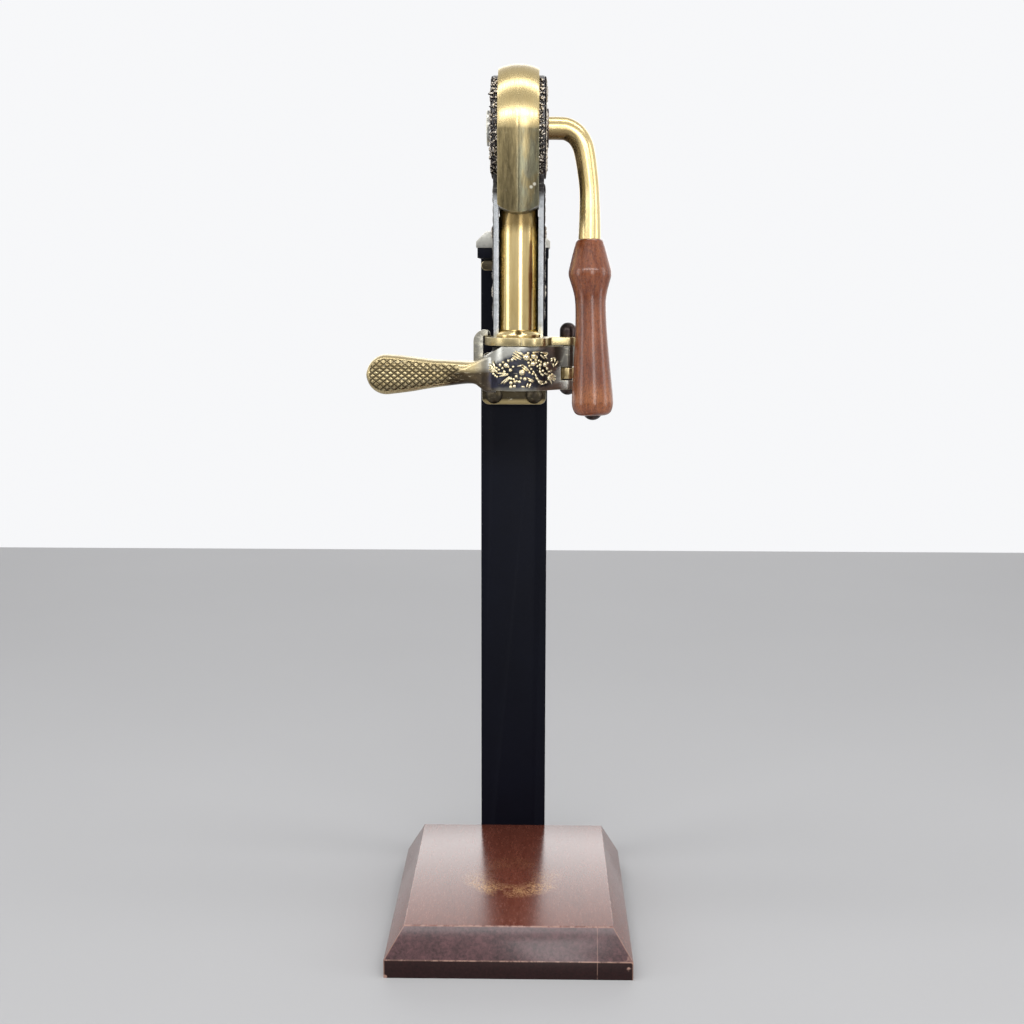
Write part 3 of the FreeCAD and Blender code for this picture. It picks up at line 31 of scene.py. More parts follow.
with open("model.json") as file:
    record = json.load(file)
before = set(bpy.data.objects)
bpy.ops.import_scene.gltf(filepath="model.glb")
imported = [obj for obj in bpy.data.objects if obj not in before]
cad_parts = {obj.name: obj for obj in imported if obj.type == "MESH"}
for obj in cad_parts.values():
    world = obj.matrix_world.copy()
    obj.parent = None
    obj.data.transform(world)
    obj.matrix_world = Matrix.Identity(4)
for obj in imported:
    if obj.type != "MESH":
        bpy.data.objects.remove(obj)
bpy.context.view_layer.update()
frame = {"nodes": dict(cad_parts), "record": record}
mm = 0.001
random.seed(11)
print("stage: model loaded")


# Shader arithmetic

class Signal:
    # a socket inside a material; arithmetic on it adds Math nodes
    def __init__(self, look, socket):
        self.look = look
        self.socket = socket

    def math(self, operation, *others, clamp=False):
        values = dict(enumerate((self, *others)))
        return self.look.node("Math", values, operation=operation, use_clamp=clamp)

    def __add__(self, other):
        return self.math("ADD", other)

    def __sub__(self, other):
        return self.math("SUBTRACT", other)

    def __rsub__(self, other):
        return -self + other

    def __mul__(self, other):
        return self.math("MULTIPLY", other)

    def __truediv__(self, other):
        return self.math("DIVIDE", other)

    def __neg__(self):
        return self.math("MULTIPLY", -1.0)

    def __pow__(self, other):
        return self.math("POWER", other)

    __radd__ = __add__
    __rmul__ = __mul__

    def size(self):
        return self.math("ABSOLUTE")

    def top(self, other):
        return self.math("MAXIMUM", other)

    # 0 below the limit and 1 above it, over a span of soft
    def above(self, limit, soft):
        return ((self - (limit - soft / 2)) / soft).math("ADD", 0.0, clamp=True)

    def below(self, limit, soft):
        return 1.0 - self.above(limit, soft)

    def between(self, low, high, soft):
        return self.above(low, soft) * self.below(high, soft)


class Look:
    # a procedural material, or the world when its tree is given
    def __init__(self, name, tree=None):
        if tree is None:
            self.material = bpy.data.materials.new(name)
            self.material.use_nodes = True
            tree = self.material.node_tree
        self.tree = tree
        self.tree.nodes.clear()

    def feed(self, socket, value):
        if isinstance(value, Signal):
            self.tree.links.new(value.socket, socket)
        elif isinstance(value, (tuple, list)) and len(value) == 3 and socket.type == "RGBA":
            socket.default_value = (*value, 1.0)
        else:
            socket.default_value = value

    # any node: its type, its sockets' values or links, and its settings, which are set first
    def node(self, kind, values, output=0, **settings):
        node = self.tree.nodes.new("ShaderNode" + kind)
        for name, value in settings.items():
            setattr(node, name, value)
        for name, value in values.items():
            self.feed(node.inputs[name], value)
        return Signal(self, node.outputs[output]) if node.outputs else None

    def place(self):
        return self.node("TexCoord", {}, "Object")

    def axis(self, letter):
        return self.node("SeparateXYZ", {0: self.place()}, letter)

    def noise(self, scale, detail=3.0, roughness=0.55, stretch=(1.0, 1.0, 1.0), distortion=0.0, lay=None):
        where = self.place()
        if lay:
            where = self.node("Attribute", {}, "Vector", attribute_name=lay)
        where = self.node("VectorMath", {0: where, 1: stretch}, operation="MULTIPLY")
        values = {"Vector": where, "Scale": scale, "Detail": detail, "Roughness": roughness,
                  "Distortion": distortion}
        return self.node("TexNoise", values, "Fac")

    def blend(self, factor, first, second):
        return self.node("Mix", {0: factor, 6: first, 7: second}, 2, data_type="RGBA")

    def attribute(self, name):
        return self.node("Attribute", {}, "Fac", attribute_name=name)

    def bump(self, height, distance):
        return self.node("Bump", {"Height": height, "Distance": distance})

    def surface(self, **values):
        names = {"color": "Base Color", "roughness": "Roughness", "metallic": "Metallic", "normal": "Normal",
                 "coat": "Coat Weight", "coatRoughness": "Coat Roughness", "specular": "Specular IOR Level"}
        shader = self.node("BsdfPrincipled", {names[key]: value for key, value in values.items()})
        self.node("OutputMaterial", {"Surface": shader})
        return self.material


# Metals: brush marks, tarnished patches, and bright edges that are partly wear and partly painted highlight

# what the metals share; a metal's own dictionary gives the rest and what differs
commonMetal = {
    "markScale": 50.0, "marks": (1.0, 1.0, 5.0), "patchScale": 60.0, "tarnishFrom": 0.5, "tarnish": 0.6,
    "roughness": 0.2, "roughnessSpread": 0.16, "markDepth": 0.00003, "scratches": 0.3, "edge": 0.9,
}


# zones colours the metal's own places; lay is the attribute that its marks follow instead of its place
def metalLook(name, look, zones=None, lay=None):
    look = {**commonMetal, **look}
    metal = Look(name)
    marks = metal.noise(look["markScale"], 4.0, 0.6, look["marks"], 0.0, lay)
    fine = metal.noise(look["markScale"] * 4.3, 3.0, 0.6, look["marks"], 0.0, lay)
    patches = metal.noise(look["patchScale"], 3.0, 0.6)
    tone = (patches * 0.6 + marks * 0.5).above(0.57, 0.36)
    colour = metal.blend(tone, look["light"], look["deep"])
    tarnish = metal.noise(look["patchScale"] * 2.3, 5.0, 0.65).above(look["tarnishFrom"], 0.2)
    colour = metal.blend(tarnish * look["tarnish"], colour, look["tarnishColour"])
    roughness = marks * look["roughnessSpread"] + tarnish * 0.08 + look["roughness"]
    if zones:
        colour, roughness = zones(metal, colour, roughness, marks, fine)
    scratches = fine.above(0.66, 0.05)
    colour = metal.blend(scratches * look["scratches"], colour, look["wearAndEdgeHighlight"])
    # painted highlight along the rounded edges, broken up by noise so that it also reads as wear
    edge = metal.attribute("edge") * metal.noise(260.0, 2.0, 0.6).above(0.36, 0.2)
    colour = metal.blend(edge * look["edge"], colour, look["wearAndEdgeHighlight"])
    normal = metal.bump(marks * 0.5 + fine * 0.5, look["markDepth"])
    return metal.surface(color=colour, metallic=1.0, roughness=roughness, normal=normal)


# The round case has a painted highlight on its crown and, below where it curves over, an olive front that is
# partly tarnish and partly painted shade; it is greener on its right half, with a few pale dings
caseZones = {
    "oliveShadeTop": 0.5125, "crown": 0.5485, "crownHighlight": (0.6, 0.54, 0.42), "middle": 0.007,
    "olive": (0.31, 0.25, 0.13), "oliveDeep": (0.13, 0.105, 0.055),
    "green": (0.23, 0.225, 0.15), "greenDeep": (0.11, 0.1, 0.07),
    "dings": ((0.0137, 0.4772), (0.0118, 0.4755)), "dingRadius": 0.0009, "dingFront": -0.018,
    "dingColour": (0.75, 0.72, 0.6),
}


def caseFront(metal, colour, roughness, marks, fine):
    x, y, z = metal.axis("X"), metal.axis("Y"), metal.axis("Z")
    streak = metal.noise(460.0, 5.0, 0.7, (1.0, 0.16, 0.16), 0.4)
    clouds = metal.noise(95.0, 4.0, 0.6, (1.0, 0.6, 0.5), 0.6)
    right = (x + clouds * 0.006).above(caseZones["middle"], 0.003)
    olive = metal.blend(streak.above(0.5, 0.3), caseZones["olive"], caseZones["oliveDeep"])
    green = metal.blend(streak.above(0.52, 0.3), caseZones["green"], caseZones["greenDeep"])
    worn = metal.blend(right * clouds.above(0.46, 0.16), olive, green)
    # below where the case curves over, a darker olive that is partly tarnish and partly painted shade
    down = (z + marks * 0.003).below(caseZones["oliveShadeTop"], 0.004)
    colour = metal.blend(down, colour, worn)
    # painted highlight on the crown
    colour = metal.blend(z.above(caseZones["crown"], 0.006), colour, caseZones["crownHighlight"])
    for dingX, dingZ in caseZones["dings"]:
        dx, dz = x - dingX, z - dingZ
        near = ((dx * dx + dz * dz) ** 0.5).below(caseZones["dingRadius"], 0.0006)
        colour = metal.blend(near * y.below(caseZones["dingFront"], 0.002), colour, caseZones["dingColour"])
    return colour, roughness + down * 0.06


caseBrass = metalLook("brushed_brass", {
    "light": (0.74, 0.6, 0.32), "deep": (0.56, 0.43, 0.2), "markScale": 120.0, "marks": (9.0, 1.0, 1.0),
    "patchScale": 40.0, "tarnishFrom": 0.62, "tarnish": 0.35, "tarnishColour": (0.42, 0.34, 0.18),
    "roughnessSpread": 0.14, "wearAndEdgeHighlight": (0.86, 0.76, 0.5),
}, caseFront)


# The barrel has a painted brown shadow under the case and is duller at its foot
barrelZones = {"shadeFrom": 0.4545, "shade": (0.22, 0.15, 0.06), "footTo": 0.392, "foot": (0.6, 0.47, 0.25)}


def barrelShade(metal, colour, roughness, marks, fine):
    z = metal.axis("Z")
    # painted shadow cast by the case over the top of the barrel
    shade = (z + marks * 0.004).above(barrelZones["shadeFrom"], 0.006)
    colour = metal.blend(shade * 0.85, colour, barrelZones["shade"])
    foot = z.below(barrelZones["footTo"], 0.004)
    return metal.blend(foot * 0.5, colour, barrelZones["foot"]), roughness + shade * 0.1


barrelBrass = metalLook("polished_brass", {
    "light": (0.8, 0.64, 0.33), "deep": (0.64, 0.48, 0.21), "markScale": 70.0, "marks": (10.0, 10.0, 1.0),
    "patchScale": 30.0, "tarnishFrom": 0.66, "tarnish": 0.3, "tarnishColour": (0.45, 0.33, 0.15),
    "roughness": 0.13, "roughnessSpread": 0.1, "markDepth": 0.00001, "scratches": 0.25, "edge": 0.8,
    "wearAndEdgeHighlight": (0.9, 0.78, 0.5),
}, barrelShade)


# The arm has painted brown shade underneath, most of all between the washer and the elbow, and a fainter
# painted shade on its inner side past the elbow
armZones = {"elbow": 0.125, "under": (0.17, 0.1, 0.045)}


def armUnderShade(metal, colour, roughness, marks, fine):
    lay = metal.node("Attribute", {}, "Vector", attribute_name="lay")
    up, along = metal.node("SeparateXYZ", {0: lay}, "X"), metal.node("SeparateXYZ", {0: lay}, "Z")
    # painted shade on the underside and, past the elbow, on the inner side
    under = (up + marks * 0.3).below(-0.15, 0.6) * along.below(armZones["elbow"], 0.07)
    paintedInnerShade = (up + marks * 0.3).below(-0.55, 0.5) * along.above(armZones["elbow"], 0.07) * 0.35
    return metal.blend(under * 0.85 + paintedInnerShade, colour, armZones["under"]), roughness


armBrass = metalLook("lever_brass", {
    "light": (0.84, 0.69, 0.38), "deep": (0.66, 0.5, 0.22), "markScale": 3.2, "marks": (3.0, 3.0, 22.0),
    "patchScale": 34.0, "tarnishFrom": 0.68, "tarnish": 0.35, "tarnishColour": (0.46, 0.34, 0.15),
    "roughnessSpread": 0.12, "markDepth": 0.00001, "edge": 0.6, "wearAndEdgeHighlight": (0.9, 0.8, 0.52),
}, armUnderShade, "lay")
plateBrass = metalLook("plate_brass", {
    "light": (0.62, 0.5, 0.26), "deep": (0.42, 0.35, 0.19), "markScale": 60.0, "marks": (1.0, 1.0, 10.0),
    "tarnish": 0.55, "tarnishColour": (0.24, 0.21, 0.13), "roughness": 0.18, "markDepth": 0.00002,
    "wearAndEdgeHighlight": (0.85, 0.76, 0.52),
})
# very dark brass for the clamp plate and the flange domes, partly painted shade under the ledge and the jaw
flangeBrass = metalLook("flange_brass", {
    "light": (0.11, 0.088, 0.052), "deep": (0.04, 0.034, 0.024), "marks": (1.0, 1.0, 4.0),
    "patchScale": 90.0, "tarnishColour": (0.07, 0.06, 0.05), "roughness": 0.26, "scratches": 0.2,
    "wearAndEdgeHighlight": (0.62, 0.53, 0.34),
})


# The casting's foot is pale; its flange low on the post is dark brass, darkened further as painted shade
# under the jaw, with a golden rim that is a painted highlight along its lower edge
castingZones = {
    "flangeTo": 0.384, "flange": (0.085, 0.068, 0.04), "flangeDeep": (0.03, 0.025, 0.018),
    "rimTo": 0.3395, "rim": (0.42, 0.33, 0.16),
}


def castingFlange(metal, colour, roughness, marks, fine):
    z = metal.axis("Z")
    # dark brass with painted shade under the jaw
    dark = metal.blend(marks.above(0.5, 0.4), castingZones["flange"], castingZones["flangeDeep"])
    # painted highlight along the lower rim
    dark = metal.blend(z.below(castingZones["rimTo"], 0.002) * 0.7, dark, castingZones["rim"])
    return metal.blend(z.below(castingZones["flangeTo"], 0.004), colour, dark), roughness


paleNickel = metalLook("antique_nickel", {
    "light": (0.56, 0.56, 0.53), "deep": (0.38, 0.38, 0.36), "marks": (1.0, 3.0, 3.0),
    "tarnishColour": (0.15, 0.14, 0.12), "roughness": 0.24, "edge": 0.95, "wearAndEdgeHighlight": (0.88, 0.84, 0.7),
}, castingFlange)


# The side frames are pale below the case, dark under the relief round the pivot and antiqued outside
cheekZones = {
    "darkFrom": 0.474, "dark": (0.02, 0.016, 0.019), "darkLight": (0.1, 0.09, 0.085),
    "middle": 0.004, "outer": 0.01535, "antique": (0.09, 0.085, 0.085),
}


def cheekDark(metal, colour, roughness, marks, fine):
    up = (metal.axis("Z") + marks * 0.006).above(cheekZones["darkFrom"], 0.006)
    dark = metal.blend(fine.above(0.5, 0.3), cheekZones["dark"], cheekZones["darkLight"])
    outside = (metal.axis("X") - cheekZones["middle"]).size().above(cheekZones["outer"], 0.0003)
    colour = metal.blend(outside * marks.above(0.4, 0.3) * 0.8, colour, cheekZones["antique"])
    return metal.blend(up * 0.95, colour, dark), roughness + up * 0.1


cheekNickel = metalLook("cheek_nickel", {
    "light": (0.9, 0.93, 0.95), "deep": (0.74, 0.78, 0.8), "markScale": 60.0, "marks": (1.0, 4.0, 1.0),
    "patchScale": 70.0, "tarnishFrom": 0.6, "tarnishColour": (0.3, 0.32, 0.34), "roughnessSpread": 0.14,
    "edge": 0.5, "wearAndEdgeHighlight": (0.9, 0.9, 0.86),
}, cheekDark)
darkBronze = metalLook("dark_bronze", {
    "light": (0.085, 0.065, 0.06), "deep": (0.035, 0.028, 0.03), "markScale": 80.0, "marks": (1.0, 1.0, 1.0),
    "patchScale": 90.0, "tarnishFrom": 0.6, "tarnish": 0.5, "tarnishColour": (0.14, 0.09, 0.07),
    "roughness": 0.26, "markDepth": 0.00004, "scratches": 0.2, "edge": 0.8, "wearAndEdgeHighlight": (0.3, 0.22, 0.18),
})
plainSteel = metalLook("plain_steel", {
    "light": (0.6, 0.6, 0.6), "deep": (0.48, 0.48, 0.49), "markScale": 60.0, "marks": (8.0, 8.0, 1.0),
    "patchScale": 50.0, "tarnishFrom": 0.7, "tarnish": 0.3, "tarnishColour": (0.3, 0.28, 0.26),
    "roughness": 0.22, "roughnessSpread": 0.12, "markDepth": 0.00001, "edge": 0.5,
    "wearAndEdgeHighlight": (0.75, 0.75, 0.74),
})


# Both jaws have golden handles, with brown in the grooves of the knurl
jawTones = {
    "gold": (0.7, 0.57, 0.3), "goldDeep": (0.5, 0.38, 0.17), "groove": (0.06, 0.045, 0.025),
    "wearAndEdgeHighlight": (0.85, 0.78, 0.58),
}


def goldTone(metal, marks):
    return metal.blend(marks.above(0.5, 0.4), jawTones["gold"], jawTones["goldDeep"])


def darkGrooves(metal, colour):
    groove = 1.0 - metal.attribute("relief")
    return metal.blend((groove * 1.25).math("MINIMUM", 0.94), colour, jawTones["groove"])


# The front jaw is grey, with painted brown shade low in the hollow of its neck, blue black under the relief,
# a painted dark reflection on its knuckle and painted shade along its lower edge
frontZones = {
    "handleTo": -0.019, "neckShadeTop": 0.3655, "hollowFrom": -0.041, "neckShadeTo": -0.0075,
    "neckShadeBrown": (0.085, 0.058, 0.034), "neckShadeDeep": (0.035, 0.026, 0.02),
    "ground": (-0.0135, 0.0238, 0.3545, 0.3792), "groundFront": -0.0085, "slope": 0.53, "slopeAt": 0.3757,
    "night": (0.012, 0.012, 0.02), "nightLight": (0.05, 0.052, 0.085),
    "knuckleFrom": 0.0262, "knuckleLow": 0.3675, "knuckle": (0.1, 0.095, 0.08),
    "lowerShadeTop": 0.3548, "lowerShadeFrom": -0.012, "lip": (0.2, 0.18, 0.14),
}


def frontSkin(metal, colour, roughness, marks, fine):
    x, y, z = metal.axis("X"), metal.axis("Y"), metal.axis("Z")
    cloud = metal.noise(160.0, 3.0, 0.6)
    wander = (cloud - 0.5) * 0.006
    handle = x.below(frontZones["handleTo"], 0.009)
    colour = metal.blend(handle * 0.85, colour, goldTone(metal, marks))
    neckShadeBrown = metal.blend(cloud.above(0.5, 0.4), frontZones["neckShadeBrown"], frontZones["neckShadeDeep"])
    # painted shade on the lower half of the neck's hollow
    neckShade = (z + wander * 0.4).below(frontZones["neckShadeTop"], 0.0035)
    neckShade = neckShade * x.below(frontZones["neckShadeTo"], 0.008)
    colour = metal.blend(neckShade * x.above(frontZones["hollowFrom"], 0.006) * 0.94, colour, neckShadeBrown)
    left, right, low, high = frontZones["ground"]
    ground = (x + wander).between(left, right, 0.006) * (z + wander).between(low, high, 0.0035)
    ground = ground * y.below(frontZones["groundFront"], 0.002)
    ground = ground * (z - x * frontZones["slope"] + wander).below(frontZones["slopeAt"], 0.003)
    night = metal.blend(cloud.above(0.55, 0.3), frontZones["night"], frontZones["nightLight"])
    colour = metal.blend(ground * 0.93, colour, night)
    # painted dark reflection of the wooden handle on the knuckle
    knuckle = x.above(frontZones["knuckleFrom"], 0.002) * z.above(frontZones["knuckleLow"], 0.0015)
    colour = metal.blend(knuckle * 0.85, colour, frontZones["knuckle"])
    # painted shade along the lower edge
    lip = z.below(frontZones["lowerShadeTop"], 0.0015) * x.above(frontZones["lowerShadeFrom"], 0.01)
    colour = metal.blend(lip * 0.5, colour, frontZones["lip"])
    return darkGrooves(metal, colour), roughness + ground * 0.12


jawBrass = metalLook("antique_brass", {
    "light": (0.5, 0.51, 0.49), "deep": (0.34, 0.34, 0.31), "patchScale": 75.0, "tarnishFrom": 0.54,
    "tarnish": 0.5, "tarnishColour": (0.3, 0.295, 0.27), "wearAndEdgeHighlight": jawTones["wearAndEdgeHighlight"],
}, frontSkin)


# The rear jaw is a plainer brass, golden at its handle and at its knuckle
rearZones = {"handleTo": -0.018, "knuckleFrom": 0.026}


def rearSkin(metal, colour, roughness, marks, fine):
    x = metal.axis("X")
    gold = x.below(rearZones["handleTo"], 0.009).top(x.above(rearZones["knuckleFrom"], 0.002))
    colour = metal.blend(gold * 0.85, colour, goldTone(metal, marks))
    return darkGrooves(metal, colour), roughness


rearBrass = metalLook("rear_jaw_brass", {
    "light": (0.5, 0.47, 0.4), "deep": (0.3, 0.27, 0.21), "patchScale": 75.0, "tarnishFrom": 0.52,
    "tarnish": 0.5, "tarnishColour": (0.18, 0.17, 0.14), "wearAndEdgeHighlight": jawTones["wearAndEdgeHighlight"],
}, rearSkin)
hookBrass = metalLook("hook_brass", {
    "light": (0.46, 0.45, 0.38), "deep": (0.22, 0.2, 0.15), "markScale": 60.0, "marks": (1.0, 1.0, 3.0),
    "patchScale": 90.0, "tarnishColour": (0.12, 0.12, 0.13), "roughnessSpread": 0.14, "scratches": 0.2,
    "edge": 1.0, "wearAndEdgeHighlight": (0.95, 0.92, 0.76),
})
innerBrass = metalLook("inner_brass", {
    "light": (0.47, 0.41, 0.29), "deep": (0.3, 0.25, 0.16), "marks": (1.0, 1.0, 6.0), "patchScale": 55.0,
    "tarnishColour": (0.2, 0.18, 0.14), "roughness": 0.24, "roughnessSpread": 0.14, "scratches": 0.2,
    "edge": 0.5, "wearAndEdgeHighlight": (0.7, 0.62, 0.42),
})


# Cast relief: bright where it stands out, partly worn metal and partly a painted highlight, and nearly black
# in the recesses
def reliefLook(name, look):
    cast = Look(name)
    height = cast.attribute("relief")
    spots = cast.noise(900.0, 3.0, 0.6)
    # the bright tips are partly wear and partly a painted highlight
    worn = (height + (spots - 0.5) * 0.22).above(look["tipFrom"], 0.3)
    tip = cast.blend(spots.above(0.5, 0.4), look["tip"], look["tipShade"])
    colour = cast.blend(worn, look["recess"], tip)
    normal = cast.bump(spots, 0.00004)
    return cast.surface(color=colour, metallic=0.95, roughness=0.46 - worn * 0.22, normal=normal)


goldRelief = reliefLook("gold_relief", {
    "tip": (0.95, 0.88, 0.66), "tipShade": (0.8, 0.68, 0.42), "recess": (0.012, 0.012, 0.024),
    "tipFrom": 0.5,
})
silverRelief = reliefLook("side_relief", {
    "tip": (0.66, 0.6, 0.5), "tipShade": (0.3, 0.26, 0.23), "recess": (0.014, 0.01, 0.014),
    "tipFrom": 0.66,
})


# Fine black powder coat on the post, and the matte black linings
coatTones = {"deep": (0.0016, 0.0019, 0.0045), "light": (0.004, 0.0052, 0.012), "grain": (0.02, 0.022, 0.03)}


def powderLook():
    powder = Look("black_powder_coat")
    grain = powder.noise(1700.0, 2.0, 0.5)
    cloud = powder.noise(25.0, 3.0, 0.5)
    colour = powder.blend(cloud, coatTones["deep"], coatTones["light"])
    colour = powder.blend(grain.above(0.72, 0.04) * 0.5, colour, coatTones["grain"])
    return powder.surface(color=colour, metallic=0.0, roughness=cloud * 0.12 + 0.44,
                          normal=powder.bump(grain, 0.00004), specular=0.1)


rubberTones = {"deep": (0.02, 0.02, 0.02), "light": (0.035, 0.034, 0.033)}


def rubberLook():
    rubber = Look("black_rubber")
    grain = rubber.noise(900.0, 2.0, 0.5)
    colour = rubber.blend(grain, rubberTones["deep"], rubberTones["light"])
    return rubber.surface(color=colour, metallic=0.0, roughness=grain * 0.15 + 0.65,
                          normal=rubber.bump(grain, 0.00005))


# Glossy reddish wood with fine pores along the turned handle, lighter at its foot
handleTones = {
    "deep": (0.11, 0.022, 0.007), "light": (0.28, 0.07, 0.022), "thread": (0.4, 0.13, 0.045),
    "pore": (0.05, 0.014, 0.007), "foot": (0.55, 0.2, 0.06), "footLow": 0.344, "footHigh": 0.356,
}


def handleWoodLook():
    wood = Look("handle_wood")
    bands = wood.noise(60.0, 4.0, 0.6, (1.0, 1.0, 0.2), 0.8)
    threads = wood.noise(420.0, 4.0, 0.65, (1.0, 1.0, 0.1))
    pores = wood.noise(1500.0, 3.0, 0.6, (1.0, 1.0, 0.5)).above(0.56, 0.1)
    colour = wood.blend(bands.above(0.5, 0.45), handleTones["deep"], handleTones["light"])
    colour = wood.blend(threads.above(0.54, 0.25) * 0.55, colour, handleTones["thread"])
    foot = wood.axis("Z").between(handleTones["footLow"], handleTones["footHigh"], 0.008)
    colour = wood.blend(foot * threads * 0.7, colour, handleTones["foot"])
    colour = wood.blend(pores * 0.5, colour, handleTones["pore"])
    mottle = wood.noise(900.0, 3.0, 0.7, (1.0, 1.0, 0.5))
    return wood.surface(color=colour, metallic=0.0, roughness=mottle * 0.3 + 0.15,
                        normal=wood.bump(mottle, 0.00012), coat=0.6, coatRoughness=0.1, specular=0.4)


# Stained board: long grain on top and sides, end grain in front, near-black vertical faces below the edge
# that are partly dark stain and partly painted shade, scratches where bottles stood
boardTones = {
    "deep": (0.11, 0.023, 0.011), "light": (0.21, 0.055, 0.032), "streak": (0.32, 0.105, 0.066),
    "pore": (0.045, 0.011, 0.007), "bevelDeep": (0.03, 0.011, 0.014), "bevelLight": (0.13, 0.056, 0.062),
    "face": (0.012, 0.003, 0.003), "faceLight": (0.028, 0.008, 0.008), "pale": (0.6, 0.36, 0.28),
    "scratch": (0.8, 0.46, 0.2), "half": 0.0762, "front": 0.0898, "top": 0.0306, "edge": 0.0115,
    "sideIn": 0.0122, "frontIn": 0.0086, "seamX": 0.0543, "ring": (0.0015, -0.005), "ringRadius": 0.0235,
    "ringWidth": 0.008, "line": 0.0004,
}


# a broken ring of golden scratches, and a few stray ones
def bottleRing(wood, look, onTop):
    x, y = wood.axis("X"), wood.axis("Y")
    dx, dy = x - look["ring"][0], y - look["ring"][1]
    radius = (dx * dx + dy * dy) ** 0.5
    band = (radius - look["ringRadius"]).size().below(look["ringWidth"], look["ringWidth"])
    flecks = wood.noise(1000.0, 3.0, 0.75, (1.0, 1.0, 1.0), 0.8).above(0.52, 0.06)
    patch = wood.noise(75.0, 3.0, 0.6).above(0.42, 0.16)
    toFront = y.below(look["ring"][1] - 0.004, 0.03) * 0.85 + 0.1
    stray = wood.noise(900.0, 3.0, 0.7).above(0.735, 0.02) * onTop * 0.6
    return (band * flecks * patch * onTop * toFront + stray).math("MINIMUM", 1.0)


# pale lines where the stain has worn off the edges and corners
def wornEdges(wood, look, sideGap, frontGap, onTop):
    z = wood.axis("Z")
    chips = wood.noise(240.0, 4.0, 0.7).above(0.5, 0.1)
    bigChips = wood.noise(70.0, 3.0, 0.7).above(0.6, 0.05)
    hip = (sideGap - frontGap).size().below(look["line"] * 1.5, 0.0004) * (1.0 - onTop)
    hip = hip * sideGap.below(0.003, 0.002)
    arris = (z - look["edge"]).size().below(look["line"], 0.0003) * frontGap.below(0.0015, 0.001)
    outline = frontGap.size().below(look["line"], 0.0003).top(sideGap.size().below(look["line"], 0.0003))
    rim = (z - look["top"]).size().below(0.0007, 0.0004) * outline
    worn = (hip * 0.6).top(arris * (chips * 0.6 + 0.3)).top(rim * chips * 0.6)
    corner = (sideGap + frontGap).below(0.005, 0.003) * z.below(look["edge"] + 0.003, 0.003) * bigChips
    return worn.top(corner)


def boardWoodLook(look):
    wood = Look("board_wood")
    x, y, z = wood.axis("X"), wood.axis("Y"), wood.axis("Z")
    bands = wood.noise(30.0, 4.0, 0.6, (1.0, 0.12, 1.0), 0.6)
    threads = wood.noise(700.0, 4.0, 0.7, (1.0, 0.2, 1.0))
    specks = wood.noise(1500.0, 3.0, 0.6, (1.0, 0.45, 1.0))
    colour = wood.blend(bands.above(0.5, 0.6), look["deep"], look["light"])
    colour = wood.blend(threads.above(0.55, 0.3) * 0.45, colour, look["streak"])
    colour = wood.blend(specks.above(0.6, 0.06) * 0.55, colour, look["pore"])
    # how far a point lies inside the sloping sides and front
    share = ((z - look["edge"]) / (look["top"] - look["edge"])).math("ADD", 0.0, clamp=True)
    sideGap = look["half"] - look["sideIn"] * share - x.size()
    frontGap = y + look["front"] - look["frontIn"] * share
    onTop = z.above(look["top"] - 0.0008, 0.0005)
    inFront = frontGap.below(0.0007, 0.0004) * (1.0 - onTop)
    belowEdge = z.below(look["edge"], 0.0005)
    mottle = wood.noise(420.0, 4.0, 0.7, (1.0, 1.0, 1.0), 0.4)
    blot = wood.noise(60.0, 3.0, 0.6)
    bevel = wood.blend((mottle * 0.7 + blot * 0.3).above(0.49, 0.26), look["bevelDeep"], look["bevelLight"])
    # near-black vertical front face, partly dark end-grain stain and partly painted shade
    face = wood.blend(threads.above(0.5, 0.4), look["face"], look["faceLight"])
    colour = wood.blend(inFront, colour, wood.blend(belowEdge, bevel, face))
    # the vertical sides get the same near-black as painted shade
    sideFace = sideGap.below(0.0006, 0.0004) * (1.0 - onTop)
    colour = wood.blend(sideFace * belowEdge * 0.8, colour, look["face"])
    # a glue line shows on the front
    seam = (x - look["seamX"]).size().below(0.0002, 0.0002) * inFront
    seam = seam * wood.noise(150.0, 2.0, 0.5).above(0.38, 0.1)
    colour = wood.blend(seam * 0.35, colour, look["pale"])
    ringMarks = bottleRing(wood, look, onTop)
    colour = wood.blend(ringMarks * 0.9, colour, look["scratch"])
    colour = wood.blend(wornEdges(wood, look, sideGap, frontGap, onTop) * 0.7, colour, look["pale"])
    glossy = 1.0 - inFront * belowEdge * 0.85
    roughness = threads * 0.12 + ringMarks * 0.2 + inFront * 0.16 + 0.2
    normal = wood.bump(threads * 0.3 + mottle * inFront * 0.5 - specks * 0.2, 0.00005)
    return wood.surface(color=colour, metallic=0.0, roughness=roughness, normal=normal, coat=glossy * 0.75,
                        coatRoughness=0.2, specular=0.2)


boardWood = boardWoodLook(boardTones)
handleWood = handleWoodLook()
powderCoat = powderLook()
blackRubber = rubberLook()
print("stage: materials")


# Mesh helpers

def activate(piece):
    bpy.ops.object.select_all(action="DESELECT")
    piece.select_set(True)
    bpy.context.view_layer.objects.active = piece


def applyAll(piece):
    activate(piece)
    for modifier in list(piece.modifiers):
        bpy.ops.object.modifier_apply(modifier=modifier.name)


def level(piece, name, values):
    attribute = piece.data.attributes.new(name, "FLOAT", "POINT")
    attribute.data.foreach_set("value", values)


# Cleans the mesh, shades it, gives it its material and lets it ride on its body
def finishPiece(piece, name, material, body, smooth=35.0, replaces=()):
    activate(piece)
    piece.name = name
    piece.data.name = name
    bpy.ops.object.mode_set(mode="EDIT")
    bpy.ops.mesh.select_all(action="SELECT")
    bpy.ops.mesh.remove_doubles(threshold=0.000002)
    bpy.ops.mesh.normals_make_consistent(inside=False)
    bpy.ops.object.mode_set(mode="OBJECT")
    bpy.ops.object.shade_smooth_by_angle(angle=math.radians(smooth))
    piece.data.materials.clear()
    piece.data.materials.append(material)
    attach(piece, body)
    if replaces:
        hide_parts(*replaces)
    return piece


